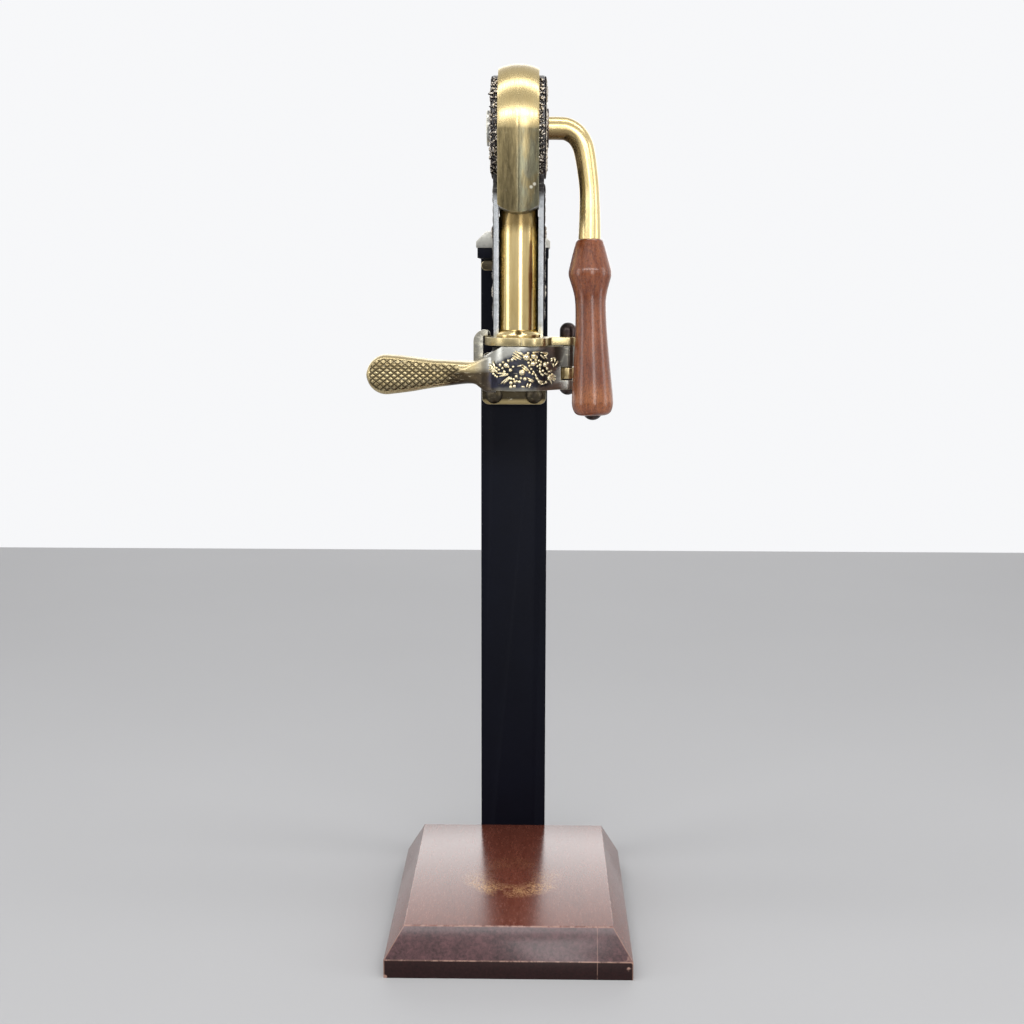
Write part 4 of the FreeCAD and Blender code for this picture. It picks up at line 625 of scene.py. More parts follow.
# Copy of a CAD piece with its edges rounded; each trim, a point and a direction, cuts off what lies that way
def rounded(node, material, width, segments=3, limit=28.0, smooth=35.0, trims=(), name=None, extra=False):
    activate(frame["nodes"][node])
    bpy.ops.object.duplicate()
    piece = bpy.context.object
    bpy.ops.object.mode_set(mode="EDIT")
    bpy.ops.mesh.select_all(action="SELECT")
    bpy.ops.mesh.remove_doubles(threshold=0.000005)
    bpy.ops.mesh.dissolve_limited(angle_limit=math.radians(1.0))
    for point, direction in trims:
        bpy.ops.mesh.select_all(action="SELECT")
        bpy.ops.mesh.bisect(plane_co=Vector(point) * mm, plane_no=direction, use_fill=True, clear_outer=True)
    bpy.ops.object.mode_set(mode="OBJECT")
    piece.data.materials.clear()
    for slot in range(2):
        piece.data.materials.append(material)
    bevel = piece.modifiers.new("round", "BEVEL")
    bevel.width = width * mm
    bevel.segments = segments
    bevel.limit_method = "ANGLE"
    bevel.angle_limit = math.radians(limit)
    bevel.miter_outer = "MITER_ARC"
    bevel.material = 1
    applyAll(piece)
    # "edge" is 1 on the vertices inside a rounding and 0 on those that bound a face
    mesh = piece.data
    inside = [1.0] * len(mesh.vertices)
    for polygon in mesh.polygons:
        if polygon.material_index == 0:
            for vertex in polygon.vertices:
                inside[vertex] = 0.0
        polygon.material_index = 0
    level(piece, "edge", inside)
    level(piece, "relief", [1.0] * len(mesh.vertices))
    stands = () if extra else (node,)  # an extra copy leaves the piece to be replaced by the next one
    return finishPiece(piece, name or node + "_finish", material, bodyOfNode[node], smooth, stands)


# Sheet of quads; place(u, v) gives a corner in millimetres for u and v from 0 to 1
def grid(across, along, place):
    bpy.ops.object.select_all(action="DESELECT")
    bpy.ops.mesh.primitive_grid_add(x_subdivisions=across, y_subdivisions=along, size=2)
    piece = bpy.context.object
    for vertex in piece.data.vertices:
        u, v = (vertex.co.x + 1) / 2, (vertex.co.y + 1) / 2
        vertex.co = Vector(place(u, v)) * mm
    return piece


# Solid of revolution about Z from a profile of (radius, height), closed at both ends
def turned(profile, segments=96):
    bpy.ops.object.select_all(action="DESELECT")
    radius, height = profile[0]
    bpy.ops.mesh.primitive_circle_add(vertices=segments, radius=radius * mm, location=(0, 0, height * mm),
                                      fill_type="NGON")
    bpy.ops.object.transform_apply(location=True, rotation=False, scale=False)
    piece = bpy.context.object
    bpy.ops.object.mode_set(mode="EDIT")
    bpy.ops.mesh.select_all(action="SELECT")
    for nextRadius, nextHeight in profile[1:]:
        rise = (nextHeight - height) * mm
        bpy.ops.mesh.extrude_region_move(TRANSFORM_OT_translate={"value": (0, 0, rise)})
        scale = nextRadius / radius
        bpy.ops.transform.resize(value=(scale, scale, 1), center_override=(0, 0, nextHeight * mm))
        radius, height = nextRadius, nextHeight
    bpy.ops.object.mode_set(mode="OBJECT")
    return piece


# Smooth list of points through the given ones
def curveThrough(points, steps):
    result = []
    last = len(points) - 1
    for index in range(last):
        before = points[max(index - 1, 0)]
        start, end = points[index], points[index + 1]
        after = points[min(index + 2, last)]
        for step in range(steps):
            t = step / steps
            result.append(tuple(
                0.5 * (2 * b + (c - a) * t + (2 * a - 5 * b + 4 * c - d) * t * t
                       + (3 * b - a - 3 * c + d) * t ** 3)
                for a, b, c, d in zip(before, start, end, after)))
    result.append(tuple(points[last]))
    return result


# Outline through corners (radius, height): straight to a corner, or round to one that gives an arc's radius,
# which is negative where the outline is hollow
def drawn(corners, step):
    points = [corners[0]]
    for (r0, z0, *_), (r1, z1, *bend) in zip(corners, corners[1:]):
        start, chord = Vector((r0, z0)), Vector((r1 - r0, z1 - z0))
        way = chord.normalized()
        out = Vector((-way.y, way.x))
        count = max(round(chord.length / step), 2)
        for index in range(1, count + 1):
            share = index / count
            point = start + chord * share
            if bend:
                radius = bend[0]
                half = math.asin(chord.length / 2 / radius)
                turn = (2 * share - 1) * half
                rise = radius * (math.cos(turn) - math.cos(half))
                point = start + chord / 2 + way * radius * math.sin(turn) + out * rise
            points.append(tuple(point))
    return points


def closeHoles(piece):
    activate(piece)
    bpy.ops.object.mode_set(mode="EDIT")
    bpy.ops.mesh.select_all(action="SELECT")
    bpy.ops.mesh.remove_doubles(threshold=0.000002)
    bpy.ops.mesh.select_all(action="DESELECT")
    bpy.ops.mesh.select_non_manifold(extend=False)
    bpy.ops.mesh.edge_face_add()
    bpy.ops.object.mode_set(mode="OBJECT")


bodyOfNode = {}
for bodyName, members in frame["record"]["behaviour"]["bodies"].items():
    for member in members:
        bodyOfNode[member] = bodyName

head = {"x": 4.0, "pivotY": -11.0, "pivotZ": 512.6, "tilt": 4.0, "lean": 1.5}


# Camera at the photograph's place

camera = bpy.data.objects.new("camera", bpy.data.cameras.new("camera"))
bpy.context.collection.objects.link(camera)
view = {"x": 15.66, "y": -942.68, "z": 421.36, "yaw": 0.941, "pitch": 8.861, "roll": 0.139, "lens": 52.33}
camera.data.sensor_width = 36.0
camera.data.lens = view["lens"]
camera.data.clip_start = 0.05
camera.matrix_world = (
    Matrix.Translation(Vector((view["x"], view["y"], view["z"])) * mm)
    @ Matrix.Rotation(math.radians(view["yaw"]), 4, "Z")
    @ Matrix.Rotation(math.radians(90 - view["pitch"]), 4, "X")
    @ Matrix.Rotation(math.radians(view["roll"]), 4, "Z")
)
bpy.context.scene.camera = camera
bpy.context.scene.view_settings.view_transform = "Standard"


# Pale floor and soft studio light; a lamp's glow is its radiance

studio = {
    "floor": {"left": -4.0, "right": 4.0, "front": -6.0, "back": 1.37},
    "lamps": {
        "crown": {"place": (0.0, -0.16, 1.75), "target": (0.0, 0.0, 0.5), "size": (2.6, 0.27), "glow": 5.2},
        "brow": {"place": (0.0, -1.45, 1.15), "target": (0.0, 0.0, 0.51), "size": (3.0, 0.3), "glow": 5.2},
        "middle": {"place": (0.4, -1.96, 0.55), "target": (0.0, 0.0, 0.43), "size": (0.5, 0.9), "glow": 4.2},
        "left": {"place": (-1.5, -0.6, 0.55), "target": (0.0, 0.0, 0.43), "size": (0.45, 1.3), "glow": 2.4},
        "right": {"place": (1.56, -0.36, 0.55), "target": (0.0, 0.0, 0.43), "size": (0.5, 1.3), "glow": 2.4},
        "back": {"place": (0.0, 2.4, 1.1), "target": (0.0, 0.0, 0.1), "size": (3.4, 1.7), "glow": 1.15},
    },
    "floorDeep": (0.6, 0.6, 0.605), "floorLight": (0.63, 0.63, 0.635),
    "backdrop": (0.93, 0.935, 0.95), "fill": (0.25, 0.25, 0.26), "roomFront": (0.76, 0.74, 0.7),
    "roomBack": (0.95, 0.95, 0.95), "roomTop": (0.5, 0.5, 0.5), "roomLow": (0.2, 0.19, 0.18),
}


def makeStage():
    bpy.ops.object.select_all(action="DESELECT")
    bpy.ops.mesh.primitive_grid_add(x_subdivisions=2, y_subdivisions=2, size=2.0)
    floor = bpy.context.object
    floor.name = "floor"
    edge = studio["floor"]
    for vertex in floor.data.vertices:
        u, v = (vertex.co.x + 1) / 2, (vertex.co.y + 1) / 2
        vertex.co.x = edge["left"] + (edge["right"] - edge["left"]) * u
        vertex.co.y = edge["front"] + (edge["back"] - edge["front"]) * v
    paint = Look("pale_floor")
    colour = paint.blend(paint.noise(3.0, 2.0, 0.5), studio["floorDeep"], studio["floorLight"])
    floor.data.materials.append(paint.surface(color=colour, metallic=0.0, roughness=0.75, specular=0.1))
    for name, lamp in studio["lamps"].items():
        data = bpy.data.lights.new(name, "AREA")
        data.shape = "RECTANGLE"
        data.size, data.size_y = lamp["size"]
        data.energy = lamp["glow"] * math.pi * data.size * data.size_y
        light = bpy.data.objects.new(name, data)
        bpy.context.collection.objects.link(light)
        light.location = lamp["place"]
        light.visible_camera = False
        aim = Vector(lamp["target"]) - Vector(lamp["place"])
        light.rotation_euler = aim.to_track_quat("-Z", "Y").to_euler()


# Pale backdrop behind the object, and a dimmer room in front of it that the metal reflects
def makeWorld():
    world = bpy.data.worlds.new("studio")
    bpy.context.scene.world = world
    world.use_nodes = True
    sky = Look("studio", world.node_tree)
    direction = sky.node("TexCoord", {}, "Generated")
    y = sky.node("SeparateXYZ", {0: direction}, "Y")
    z = sky.node("SeparateXYZ", {0: direction}, "Z")
    room = sky.blend(y.above(0.15, 0.6), studio["roomFront"], studio["roomBack"])
    room = sky.blend(z.above(0.6, 0.5) * 0.6, room, studio["roomTop"])
    room = sky.blend(z.below(-0.12, 0.2) * 0.85, room, studio["roomLow"])
    rays = sky.node("LightPath", {}, "Is Camera Ray")
    glossy = sky.node("LightPath", {}, "Is Glossy Ray")
    through = sky.node("LightPath", {}, "Is Transmission Ray")
    soft = sky.blend(glossy, studio["fill"], room)
    colour = sky.blend((rays + through).math("MINIMUM", 1.0), soft, studio["backdrop"])
    background = sky.node("Background", {"Color": colour, "Strength": 1.0})
    sky.node("OutputWorld", {"Surface": background})


makeStage()
makeWorld()
print("stage: camera and light")


# Board and post

rounded("wooden_base", boardWood, 0.45, 3, name="board")
rounded("post_bar", powderCoat, 0.5, 3, name="post")
rounded("frame_casting", paleNickel, 0.9, 4, name="casting")
rounded("clamp_plate", flangeBrass, 0.5, 3, name="clamp_jaw")
rounded("flange_screws", flangeBrass, 0.3, 3, name="flange_domes")
print("stage: board and post")


# Case, barrel and side frames

for side in ("left", "right"):
    rounded("gear_case_" + side, caseBrass, 0.35, 3, name="case_" + side)
    rounded("side_frame_" + side, cheekNickel, 0.5, 3, name="cheek_" + side)
rounded("jaw_plate", plateBrass, 0.8, 3, name="plate")
rounded("barrel_collar", barrelBrass, 0.5, 3, name="collar")

# The barrel is turned up its outside and down its bore, then the disc that closes the bore goes
barrel = {"foot": 386.0, "profile": [(10.5, 0.0), (11.9, 0.0), (12.0, 0.1), (12.0, 30.0), (12.0, 60.0),
                                     (12.0, 80.4), (11.8, 80.6), (10.5, 80.6), (10.5, 0.0)]}
tube = turned([(r, z + barrel["foot"]) for r, z in barrel["profile"]], 128)
tube.data.transform(Matrix.Translation((head["x"] * mm, 0, 0)))
for polygon in tube.data.polygons:
    polygon.select = len(polygon.vertices) > 4
activate(tube)
bpy.ops.object.mode_set(mode="EDIT")
bpy.ops.mesh.delete(type="ONLY_FACE")
bpy.ops.object.mode_set(mode="OBJECT")
finishPiece(tube, "barrel", barrelBrass, bodyOfNode["barrel_tube"], 30.0, ("barrel_tube",))
print("stage: case and barrel")


# Lever: bent arm, turned wooden handle, caps

# moves a piece from the lever's own axes to its place on the opener
def toLever(piece, origin=(0.0, 0.0, 0.0), lean=0.0):
    place = (
        Matrix.Translation(Vector((head["x"], head["pivotY"], head["pivotZ"])) * mm)
        @ Matrix.Rotation(math.radians(-head["tilt"]), 4, "X")
        @ Matrix.Translation(Vector(origin) * mm)
        @ Matrix.Rotation(math.radians(-lean), 4, "Y")
    )
    piece.data.transform(place)
    return piece


# the grip from its top down: shoulder, bulge, neck, waist, foot and rounded end
grip = {
    "start": (43.5, 0.0, -66.9), "step": 0.8,
    "outline": [(7.4, 0.0), (8.75, -2.4, 2.9), (9.55, -4.9), (12.75, -17.2), (12.75, -23.4, 10.0),
                (11.05, -29.1), (9.47, -41.0, -42.0), (9.8, -54.8, -300.0), (12.35, -91.5, -1700.0),
                (12.75, -99.0, 117.0), (11.7, -104.6, 13.4), (8.0, -107.4, 4.7), (5.2, -107.7, 12.0)],
}
handle = turned(drawn(grip["outline"], grip["step"]), 96)
toLever(handle, grip["start"], head["lean"])
finishPiece(handle, "wood_handle", handleWood, bodyOfNode["lever_handle"], 60.0, ("lever_handle",))

# the arm's middle line and radius: across from the washer, round the elbow and down into the grip
arm = {
    "line": [(18.2, 0.0, 6.85), (24.0, 0.0, 6.85), (29.5, -0.6, 6.8), (35.0, -4.0, 6.65), (38.6, -9.6, 6.5),
             (40.4, -16.5, 6.35), (41.9, -26.0, 6.15), (43.1, -37.5, 6.05), (43.5, -52.0, 6.45),
             (43.5, -66.9, 6.85)],
    "around": 48, "steps": 7,
}


def makeArm():
    line = curveThrough(arm["line"], arm["steps"])
    last = len(line) - 1
    lay = []

    def place(u, v):
        index = round(v * last)
        x, z, radius = line[index]
        before, after = line[max(index - 1, 0)], line[min(index + 1, last)]
        way = Vector((after[0] - before[0], 0, after[1] - before[1])).normalized()
        out = Vector((-way.z, 0, way.x))
        turn = 2 * math.pi * u
        point = Vector((x, 0, z)) + (out * math.cos(turn) + Vector((0, 1, 0)) * math.sin(turn)) * radius
        lay.append((math.cos(turn), math.sin(turn), v * 0.35))
        return point

    piece = grid(arm["around"], last, place)
    pattern = piece.data.attributes.new("lay", "FLOAT_VECTOR", "POINT")
    pattern.data.foreach_set("vector", [number for row in lay for number in row])
    closeHoles(piece)
    return toLever(piece)


finishPiece(makeArm(), "arm", armBrass, bodyOfNode["lever_arm"], 60.0, ("lever_arm",))
rounded("pivot_cap", paleNickel, 0.5, 3, name="cap")
rounded("hub_washer", darkBronze, 0.4, 3, name="washer")
rounded("handle_nut", darkBronze, 0.3, 2, name="grip_nut")
rounded("hinge_nut", darkBronze, 0.3, 2, name="pin_nut")
rounded("hinge_pin", darkBronze, 0.3, 3, name="pin")
print("stage: lever")


# Jaws: ring bodies without their handles, then the rounded knurled handles that flare into them

jawCuts = {"handle": -19.5, "hookLeft": -29.0, "hookRight": -17.0, "hookLow": 367.0}
jawTrim = [((head["x"] + jawCuts["handle"], 0, 0), (-1, 0, 0))]
hookTrims = [((head["x"] + jawCuts["hookLeft"], 0, 0), (-1, 0, 0)),
             ((head["x"] + jawCuts["hookRight"], 0, 0), (1, 0, 0)), ((0, 0, jawCuts["hookLow"]), (0, 0, -1))]
rounded("front_jaw", jawBrass, 0.8, 3, trims=jawTrim, name="front_jaw_body")
rounded("rear_jaw", hookBrass, 0.8, 3, trims=hookTrims, name="rear_jaw_hook", extra=True)
rounded("rear_jaw", rearBrass, 0.8, 3, trims=jawTrim, name="rear_jaw_body")

paddle = {
    "right": -14.2, "tipCentre": -83.0, "tipRadius": 12.5, "middle": 362.3,
    "top": [(-83.0, 374.8), (-80.7, 374.65), (-68.0, 373.4), (-54.0, 371.7), (-40.0, 370.9), (-31.0, 370.75),
            (-27.5, 371.0), (-24.5, 371.95), (-18.6, 374.7), (-14.2, 376.8)],
    "bottom": [(-83.0, 349.85), (-80.7, 350.0), (-68.0, 351.6), (-54.0, 354.0), (-40.0, 355.9),
               (-31.0, 356.9), (-27.0, 356.7), (-24.0, 354.75), (-21.3, 352.75), (-18.6, 352.0),
               (-14.2, 352.0)],
    "depth": 12.5, "wall": 3.2, "gap": 0.5, "bend": 0.2, "rim": 0.06, "waistFrom": -54.0,
    "knurlTo": -38.5, "knurlWide": 4.56, "knurlHigh": 3.6, "knurlDepth": 0.6, "knurlSoft": 0.5,
    "lip": 2.0, "flareFrom": -34.0, "flareTo": -21.0, "flareWall": 7.0, "ring": 22.4, "hollowFrom": -23.2,
}


# height at x on a line of points
def along(points, x):
    for (x0, z0), (x1, z1) in zip(points, points[1:]):
        if x0 <= x <= x1:
            t = (x - x0) / (x1 - x0)
            return z0 + (z1 - z0) * t
    return points[-1][1] if x > points[-1][0] else points[0][1]


smoothTop = curveThrough(paddle["top"], 8)
smoothBottom = curveThrough(paddle["bottom"], 8)


# distance along the handle, its middle height and its half height, for u from the tip
def paddleOutline(u):
    reach = paddle["tipCentre"] - paddle["tipRadius"]
    bend = paddle["bend"]
    if u < bend:
        turn = u / bend * math.pi / 2
        x = paddle["tipCentre"] - paddle["tipRadius"] * math.cos(turn)
        return max(x, reach), paddle["middle"], paddle["tipRadius"] * math.sin(turn)
    x = paddle["tipCentre"] + (paddle["right"] - paddle["tipCentre"]) * (u - bend) / (1 - bend)
    top, bottom = along(smoothTop, x), along(smoothBottom, x)
    return x, (top + bottom) / 2, (top - bottom) / 2


# whether a point is knurled, and how far it stands out of the grooves, each from 0 to 1
def knurl(x, z, edge):
    inside = min(max((edge - paddle["lip"]) / paddle["knurlSoft"], 0), 1)
    slant = abs((z - paddle["middle"]) % paddle["knurlHigh"] / paddle["knurlHigh"] - 0.5)
    end = paddle["knurlTo"] + slant * paddle["knurlWide"]
    inside *= min(max((end - x) / paddle["knurlSoft"], 0), 1)
    first = (x / paddle["knurlWide"] + z / paddle["knurlHigh"]) % 1.0
    second = (x / paddle["knurlWide"] - z / paddle["knurlHigh"]) % 1.0
    rise = min(first, 1 - first, second, 1 - second) * 2
    stand = min(rise * 1.5, 0.25 + rise * 0.75)
    return inside, stand


# how far the neck rises from the flat to run into the jaw's ring in one hollow
def filletOver(x):
    start = paddle["hollowFrom"]
    if x < start:
        return 0.0
    t = (x - start) / (paddle["right"] - start)
    end = math.sqrt(paddle["ring"] ** 2 - paddle["right"] ** 2) - paddle["depth"]
    return end * t ** 1.9


# side is -1 for the handle in front and 1 for the one behind
def makePaddle(side):
    heights = []

    def place(u, v):
        x, middle, half = paddleOutline(u)
        near = min(u / paddle["bend"], 1.0)
        full = paddle["depth"] * (0.55 + 0.45 * math.sin(near * math.pi / 2))
        flare = min(max((x - paddle["flareFrom"]) / (paddle["flareTo"] - paddle["flareFrom"]), 0), 1)
        flare = flare * flare * (3 - 2 * flare)
        if paddle["waistFrom"] < x < paddle["flareFrom"]:
            waist = (x - paddle["waistFrom"]) / (paddle["flareFrom"] - paddle["waistFrom"])
            full *= 1.0 - 0.1 * math.sin(waist * math.pi)
        wall = paddle["wall"] + paddle["gap"] + flare * paddle["flareWall"]
        rim = paddle["rim"]
        if v < rim or v > 1 - rim:  # the side wall between the flat back and the rounded front
            across = -1.0 if v < 0.5 else 1.0
            share = v / rim if v < 0.5 else (1 - v) / rim
            heights.append(0.9)
            depth = paddle["gap"] + (wall - paddle["gap"]) * share
            return head["x"] + x, side * depth, middle + across * half
        # across the front a power curve, squarer where the handle flares into the jaw
        t = (v - 0.5) / (0.5 - rim)
        bulge = (1 - abs(t) ** (2.6 + flare * 16)) ** (1 / (2.3 + flare * 0.5))
        depth = wall + (full + filletOver(x) - wall) * bulge
        z = middle + t * half
        edge = min(half * (1 - abs(t)), x - (paddle["tipCentre"] - paddle["tipRadius"]))
        inside, stand = knurl(x, z, edge)
        depth -= inside * (1 - stand) * paddle["knurlDepth"]
        heights.append(1.0 - inside * (1 - stand))
        return head["x"] + x, side * depth, z

    piece = grid(400, 150, place)
    level(piece, "relief", heights)
    closeHoles(piece)
    return piece


finishPiece(makePaddle(-1), "front_jaw_handle", jawBrass, bodyOfNode["front_jaw"], 50.0)
finishPiece(makePaddle(1), "rear_jaw_handle", rearBrass, bodyOfNode["rear_jaw"], 50.0)
print("stage: jaws")


# Cast grapes and leaves, laid out flat and then bent onto the castings

bpy.ops.object.select_all(action="DESELECT")
bpy.ops.mesh.primitive_uv_sphere_add(segments=12, ring_count=8, radius=mm)
berryForm = bpy.context.object


# ball, or a lobe when length is more than 1, lying on the flat sheet
def addBerry(u, v, radius, squash=1.0, angle=0.0, length=1.0, lift=0.0):
    ball = berryForm.copy()
    ball.data = berryForm.data.copy()
    bpy.context.collection.objects.link(ball)
    ball.data.transform(Matrix.Translation(Vector((u, v, lift)) * mm) @ Matrix.Rotation(angle, 4, "Z")
                        @ Matrix.Diagonal((length * radius, radius, radius * squash, 1)))
    return ball


# thin rib from one place to another
def rib(u0, v0, u1, v1, thick, lift=0.3):
    length = math.hypot(u1 - u0, v1 - v0)
    return addBerry((u0 + u1) / 2, (v0 + v1) / 2, thick, 1.5, math.atan2(v1 - v0, u1 - u0),
                    length * 0.55 / thick, lift)


# bunch of grapes that narrows away from its stalk
def bunch(u, v, angle, rows, radius, lift=0.3):
    parts = []
    step = radius * 1.7
    for row in range(rows):
        count = max(1, round((rows - row) * 0.85))
        for index in range(count):
            sideways = (index - (count - 1) / 2) * step + random.uniform(-0.25, 0.25) * radius
            onward = row * step * 0.9 + random.uniform(-0.2, 0.2) * radius
            x = u + math.cos(angle) * onward - math.sin(angle) * sideways
            y = v + math.sin(angle) * onward + math.cos(angle) * sideways
            parts.append(addBerry(x, y, radius * random.uniform(0.72, 1.15), 1.0, 0.0, 1.0, lift))
    return parts


# vine leaf: a fan of thin ribs with dark gaps between them, over a low blade
def leaf(u, v, angle, size, spread=1.15, ribs=5, lift=0.25):
    parts = [addBerry(u + math.cos(angle) * size * 0.45, v + math.sin(angle) * size * 0.45, size * 0.4, 0.3,
                      angle, 1.15)]
    for index in range(ribs):
        turn = (index / (ribs - 1) - 0.5) * 2 * spread
        length = size * (1.0 - 0.35 * abs(turn) / spread) * random.uniform(0.9, 1.1)
        direction = angle + turn
        x = u + math.cos(direction) * length * 0.55
        y = v + math.sin(direction) * length * 0.55
        thick = max(size * 0.085, 0.42)
        parts.append(addBerry(x, y, thick, 1.5, direction, length * 0.5 / thick, lift))
    return parts


# stalk along a smooth line
def vine(points, radius, lift=0.2):
    parts = []
    for (x0, y0), (x1, y1) in zip(points, points[1:]):
        length = math.hypot(x1 - x0, y1 - y0)
        direction = math.atan2(y1 - y0, x1 - x0)
        parts.append(addBerry((x0 + x1) / 2, (y0 + y1) / 2, radius, 1.0, direction, length * 0.62 / radius,
                              lift))
    return parts


sheetLow = -0.1  # the relief is cut off this far below its flat sheet


# joins the flat relief, drops what lies below the sheet and bends it onto the casting
def makeRelief(name, parts, bend, material, body, standing):
    bpy.ops.object.select_all(action="DESELECT")
    for part in parts:
        part.select_set(True)
    bpy.context.view_layer.objects.active = parts[0]
    bpy.ops.object.join()
    piece = bpy.context.object
    bpy.ops.object.mode_set(mode="EDIT")
    bpy.ops.mesh.select_all(action="SELECT")
    bpy.ops.mesh.bisect(plane_co=(0, 0, sheetLow * mm), plane_no=(0, 0, 1), use_fill=True, clear_inner=True)
    bpy.ops.object.mode_set(mode="OBJECT")
    level(piece, "relief", [min(max(v.co.z / mm / standing, 0), 1) for v in piece.data.vertices])
    for vertex in piece.data.vertices:
        vertex.co = Vector(bend(*(vertex.co / mm))) * mm
    return finishPiece(piece, name, material, body, 60.0)


# the front jaw's face from left to right: flat, round, then a flat that slopes to the hinge
jawFace = {"radius": 22.5, "left": -28.0, "roundFrom": (-18.71, -12.5), "roundTo": (14.08, -17.55),
           "slope": (17.22, 14.18)}


# point on that face, u along it, v up and w out of it
def onJaw(u, v, w):
    radius = jawFace["radius"]
    roundX, front = jawFace["roundFrom"]
    endX, endY = jawFace["roundTo"]
    flat = roundX - jawFace["left"]
    start = math.atan2(front, roundX)
    arc = (math.atan2(endY, endX) - start) * radius
    if u < flat:
        return head["x"] + jawFace["left"] + u, front - w, v
    if u < flat + arc:
        turn = start + (u - flat) / radius
        return head["x"] + (radius + w) * math.cos(turn), (radius + w) * math.sin(turn), v
    way = Vector((*jawFace["slope"], 0)).normalized()
    outward = Vector((way.y, -way.x, 0))
    point = Vector((endX, endY, 0)) + way * (u - flat - arc) + outward * w
    return head["x"] + point.x, point.y, v


# grapes and the ribs of vine leaves on the front jaw, read off the enlarged photograph: column and
# row, then a grape's radius or a rib's other end
jawGrapes = {
    "zoom": 13.63, "left": 470, "top": 330,  # how far it was enlarged, from which column and row
    # columns of the photograph and how far along the face they lie
    "face": [(470, -4.0), (488.1, 9.3), (518.4, 31.7), (540.8, 46.6), (557.3, 60.0), (565, 66.0)],
    "topRow": 347, "topHeight": 380.6, "rowHeight": 0.6147,  # a row's height, and what one row further is
    "grapes": [(445, 480, 18), (520, 482, 28), (475, 520, 14), (570, 546, 19), (497, 572, 18),
               (400, 522, 14), (430, 545, 13), (352, 605, 16), (380, 628, 14), (405, 645, 11),
               (480, 440, 14), (545, 420, 16), (590, 405, 18), (398, 572, 14), (600, 500, 12),
               (545, 500, 12), (755, 370, 38), (852, 355, 32), (780, 314, 16), (815, 405, 15),
               (882, 408, 16), (785, 445, 16), (845, 460, 30), (927, 420, 15), (797, 490, 12),
               (905, 495, 13), (945, 480, 20), (1010, 475, 30), (822, 530, 13), (945, 525, 14),
               (987, 560, 16), (944, 570, 18), (967, 607, 14), (1040, 530, 17), (1050, 455, 16),
               (960, 440, 12), (890, 450, 11), (702, 577, 34), (635, 630, 18), (577, 665, 16),
               (607, 668, 13), (690, 655, 14), (742, 665, 22), (640, 695, 14), (672, 705, 18),
               (620, 705, 16), (574, 720, 20), (573, 776, 20), (616, 765, 18), (800, 580, 12),
               (840, 600, 12), (1028, 720, 16), (905, 665, 12), (985, 620, 12)],
    "ribs": [(395, 560, 275, 465), (395, 560, 268, 508), (395, 560, 262, 548), (395, 565, 290, 588),
             (385, 545, 345, 430), (400, 592, 545, 600), (430, 635, 545, 608), (455, 738, 560, 635),
             (490, 735, 577, 640), (620, 285, 722, 350), (598, 305, 705, 385), (590, 340, 690, 405),
             (592, 372, 640, 412), (660, 300, 720, 330), (830, 305, 935, 300), (950, 310, 1055, 318),
             (945, 340, 1012, 402), (1000, 340, 1045, 405), (1055, 322, 1010, 362), (900, 350, 895, 395),
             (1090, 400, 1152, 390), (1090, 442, 1120, 400), (1152, 390, 1140, 452), (1190, 432, 1150, 500),
             (1118, 460, 1132, 520), (1050, 582, 1112, 560), (1000, 590, 1062, 622), (1100, 600, 1152, 655),
             (1060, 635, 1168, 690), (1060, 635, 1150, 715), (1060, 640, 1108, 748), (1055, 640, 1060, 700),
             (1070, 625, 1172, 648), (645, 495, 722, 472), (722, 482, 802, 562), (702, 505, 772, 565),
             (840, 550, 870, 600), (870, 600, 897, 652), (880, 650, 962, 738), (912, 700, 972, 752),
             (960, 745, 1012, 735), (915, 685, 985, 715), (760, 782, 780, 718), (788, 792, 817, 722),
             (690, 765, 742, 778), (770, 650, 862, 700), (782, 682, 852, 712)],
    "grapeScale": 0.05, "smallest": 0.7, "swell": 1.22, "ribThick": 0.68, "lift": 0.3,
}


# from the enlarged picture to the jaw's face, along it and up
def onFace(column, row):
    reach = along(jawGrapes["face"], jawGrapes["left"] + column / jawGrapes["zoom"])
    down = jawGrapes["top"] + row / jawGrapes["zoom"] - jawGrapes["topRow"]
    return round(reach, 1), round(jawGrapes["topHeight"] - down * jawGrapes["rowHeight"], 1)


def makeGrapes():
    parts = []
    for column, row, size in jawGrapes["grapes"]:
        radius = round(max(size * jawGrapes["grapeScale"], jawGrapes["smallest"]), 1)
        parts.append(addBerry(*onFace(column, row), radius * jawGrapes["swell"], lift=jawGrapes["lift"]))
    for column, row, endColumn, endRow in jawGrapes["ribs"]:
        parts.append(rib(*onFace(column, row), *onFace(endColumn, endRow), jawGrapes["ribThick"]))
    return parts


makeRelief("jaw_relief", makeGrapes(), onJaw, goldRelief, bodyOfNode["front_jaw"], 1.0)

# a wreath round the pivot, a vine up the side frame, and berries round the disc's rim
cheekRelief = {
    "radius": 31.0, "out": 15.5, "wreath": 20.5, "outerWreath": 24.5, "wreathFrom": 20, "wreathStep": 24,
    "vineFrom": 396, "vineTo": 486, "vineStep": 6, "vineY": 8.0, "vineSwing": 4.0, "vineWave": 9.0,
    "rimFrom": -62, "rimTo": 64, "rimStep": 2.3, "rimIn": 1.5,
    "rows": {"left": (-1.0, 0.4, 1.7), "right": (-1.4, -0.3, 0.7)},
}


def onCheek(side):
    def bend(u, v, w):
        return head["x"] + side * (cheekRelief["out"] + w), u, v
    return bend


# u runs round the disc's rim in millimetres, v across it and w outwards
def onRim(side):
    def bend(u, v, w):
        turn = u / cheekRelief["radius"]
        reach = cheekRelief["radius"] + w
        return (head["x"] + side * (cheekRelief["out"] - cheekRelief["rimIn"] + v),
                head["pivotY"] - math.cos(turn) * reach, head["pivotZ"] + math.sin(turn) * reach)
    return bend


def aroundPivot(turn, radius):
    return head["pivotY"] + math.cos(turn) * radius, head["pivotZ"] + math.sin(turn) * radius


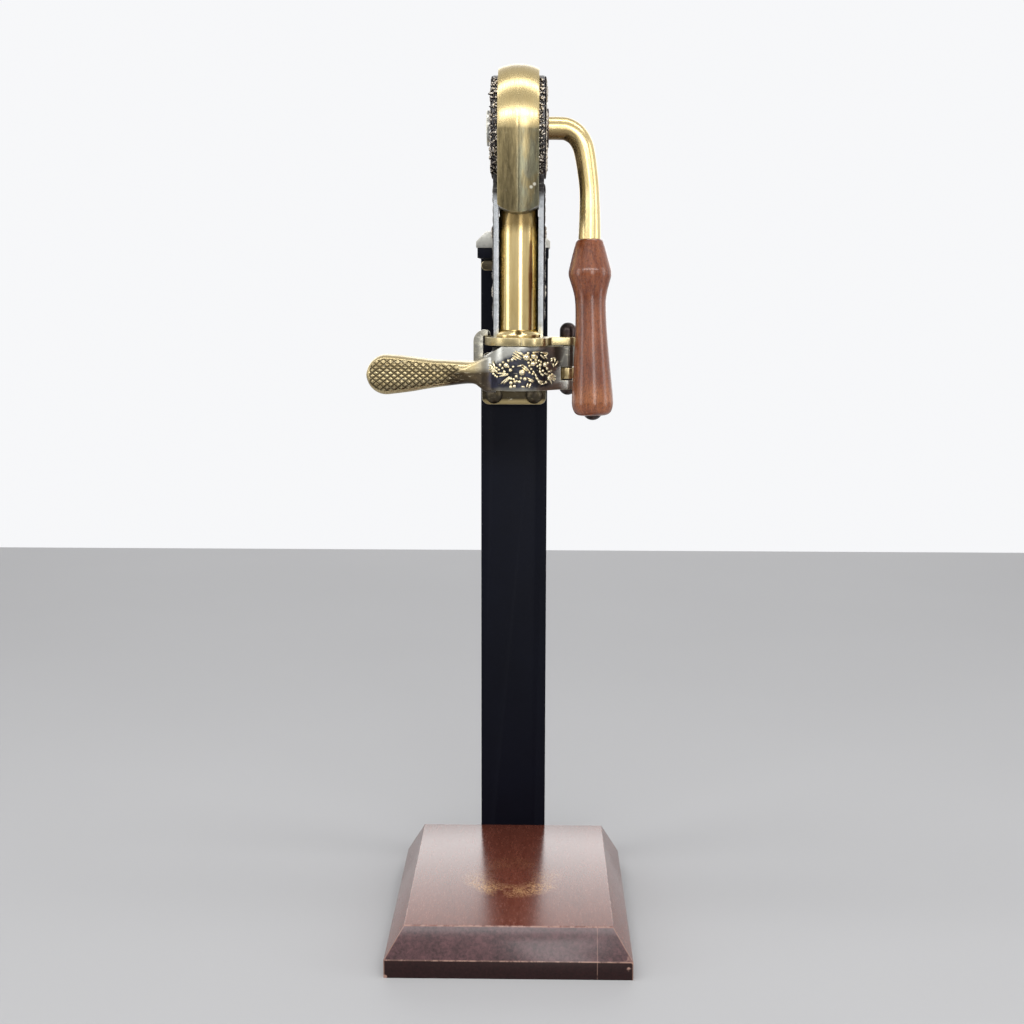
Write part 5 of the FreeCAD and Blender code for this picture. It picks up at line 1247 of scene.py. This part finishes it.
# leaves, and a bunch of grapes where the angle suits
def makeWreath():
    parts = []
    for degrees in range(cheekRelief["wreathFrom"], 360, cheekRelief["wreathStep"]):
        turn = math.radians(degrees)
        place = aroundPivot(turn, cheekRelief["wreath"])
        if degrees % 16 == 4:
            parts += bunch(*place, turn + 1.2, 4, 1.7, 0.5)
        else:
            parts += leaf(*place, turn + 0.3, 9.5, 1.1, 5, 0.5)
        parts += leaf(*aroundPivot(turn + 0.2, cheekRelief["outerWreath"]), turn + 1.0, 6.5, 0.9, 4, 0.6)
    return parts


# a waving stalk with leaves and bunches to both sides in turn
def makeVine():
    heights = range(cheekRelief["vineFrom"], cheekRelief["vineTo"], cheekRelief["vineStep"])
    stalk = [(cheekRelief["vineY"] + cheekRelief["vineSwing"] * math.sin(z / cheekRelief["vineWave"]), z)
             for z in heights]
    parts = vine(stalk, 1.0)
    for index, (y, z) in enumerate(stalk[1::2]):
        turn = 0.3 if index % 2 else math.pi - 0.3
        if index % 3 == 1:
            parts += bunch(y + math.cos(turn) * 4.0, z, turn - 0.5, 3, 1.5)
        else:
            parts += leaf(y + math.cos(turn) * 1.5, z, turn + 0.4, 8.0)
    return parts


def makeRim(rows):
    parts = []
    start = math.radians(cheekRelief["rimFrom"]) * cheekRelief["radius"]
    end = math.radians(cheekRelief["rimTo"]) * cheekRelief["radius"]
    count = int((end - start) / cheekRelief["rimStep"])
    for index in range(count):
        u = start + (end - start) * index / count
        for v in rows:
            size = random.uniform(0.55, 1.0)
            length = random.choice((1.0, 1.5, 2.4))
            parts.append(addBerry(u + random.uniform(-1.1, 1.1), v + random.uniform(-0.4, 0.4), size, 1.1,
                                  random.uniform(0, math.pi), length, 0.1))
    return parts


for side, name in ((-1, "left"), (1, "right")):
    body = bodyOfNode["side_frame_" + name]
    makeRelief("cheek_relief_" + name, makeWreath() + makeVine(), onCheek(side), silverRelief, body, 1.6)
    rim = makeRim(cheekRelief["rows"][name])
    makeRelief("rim_relief_" + name, rim, onRim(side), silverRelief, body, 1.2)
bpy.data.objects.remove(berryForm)
print("stage: relief")


# Plain pieces that keep their CAD meshes

plainMaterials = {
    "plain_steel": plainSteel, "antique_brass": innerBrass, "antique_nickel": paleNickel,
    "black_rubber": blackRubber, "brushed_brass": plateBrass, "dark_bronze": darkBronze,
    "polished_brass": barrelBrass, "mahogany": handleWood, "black_powder_coat": powderCoat,
}
slots = {entry["node"]: entry["material_slot"] for entry in frame["record"]["subparts"]}
for node, piece in frame["nodes"].items():
    if not piece.hide_render:
        piece.data.materials.clear()
        piece.data.materials.append(plainMaterials[slots[node]])
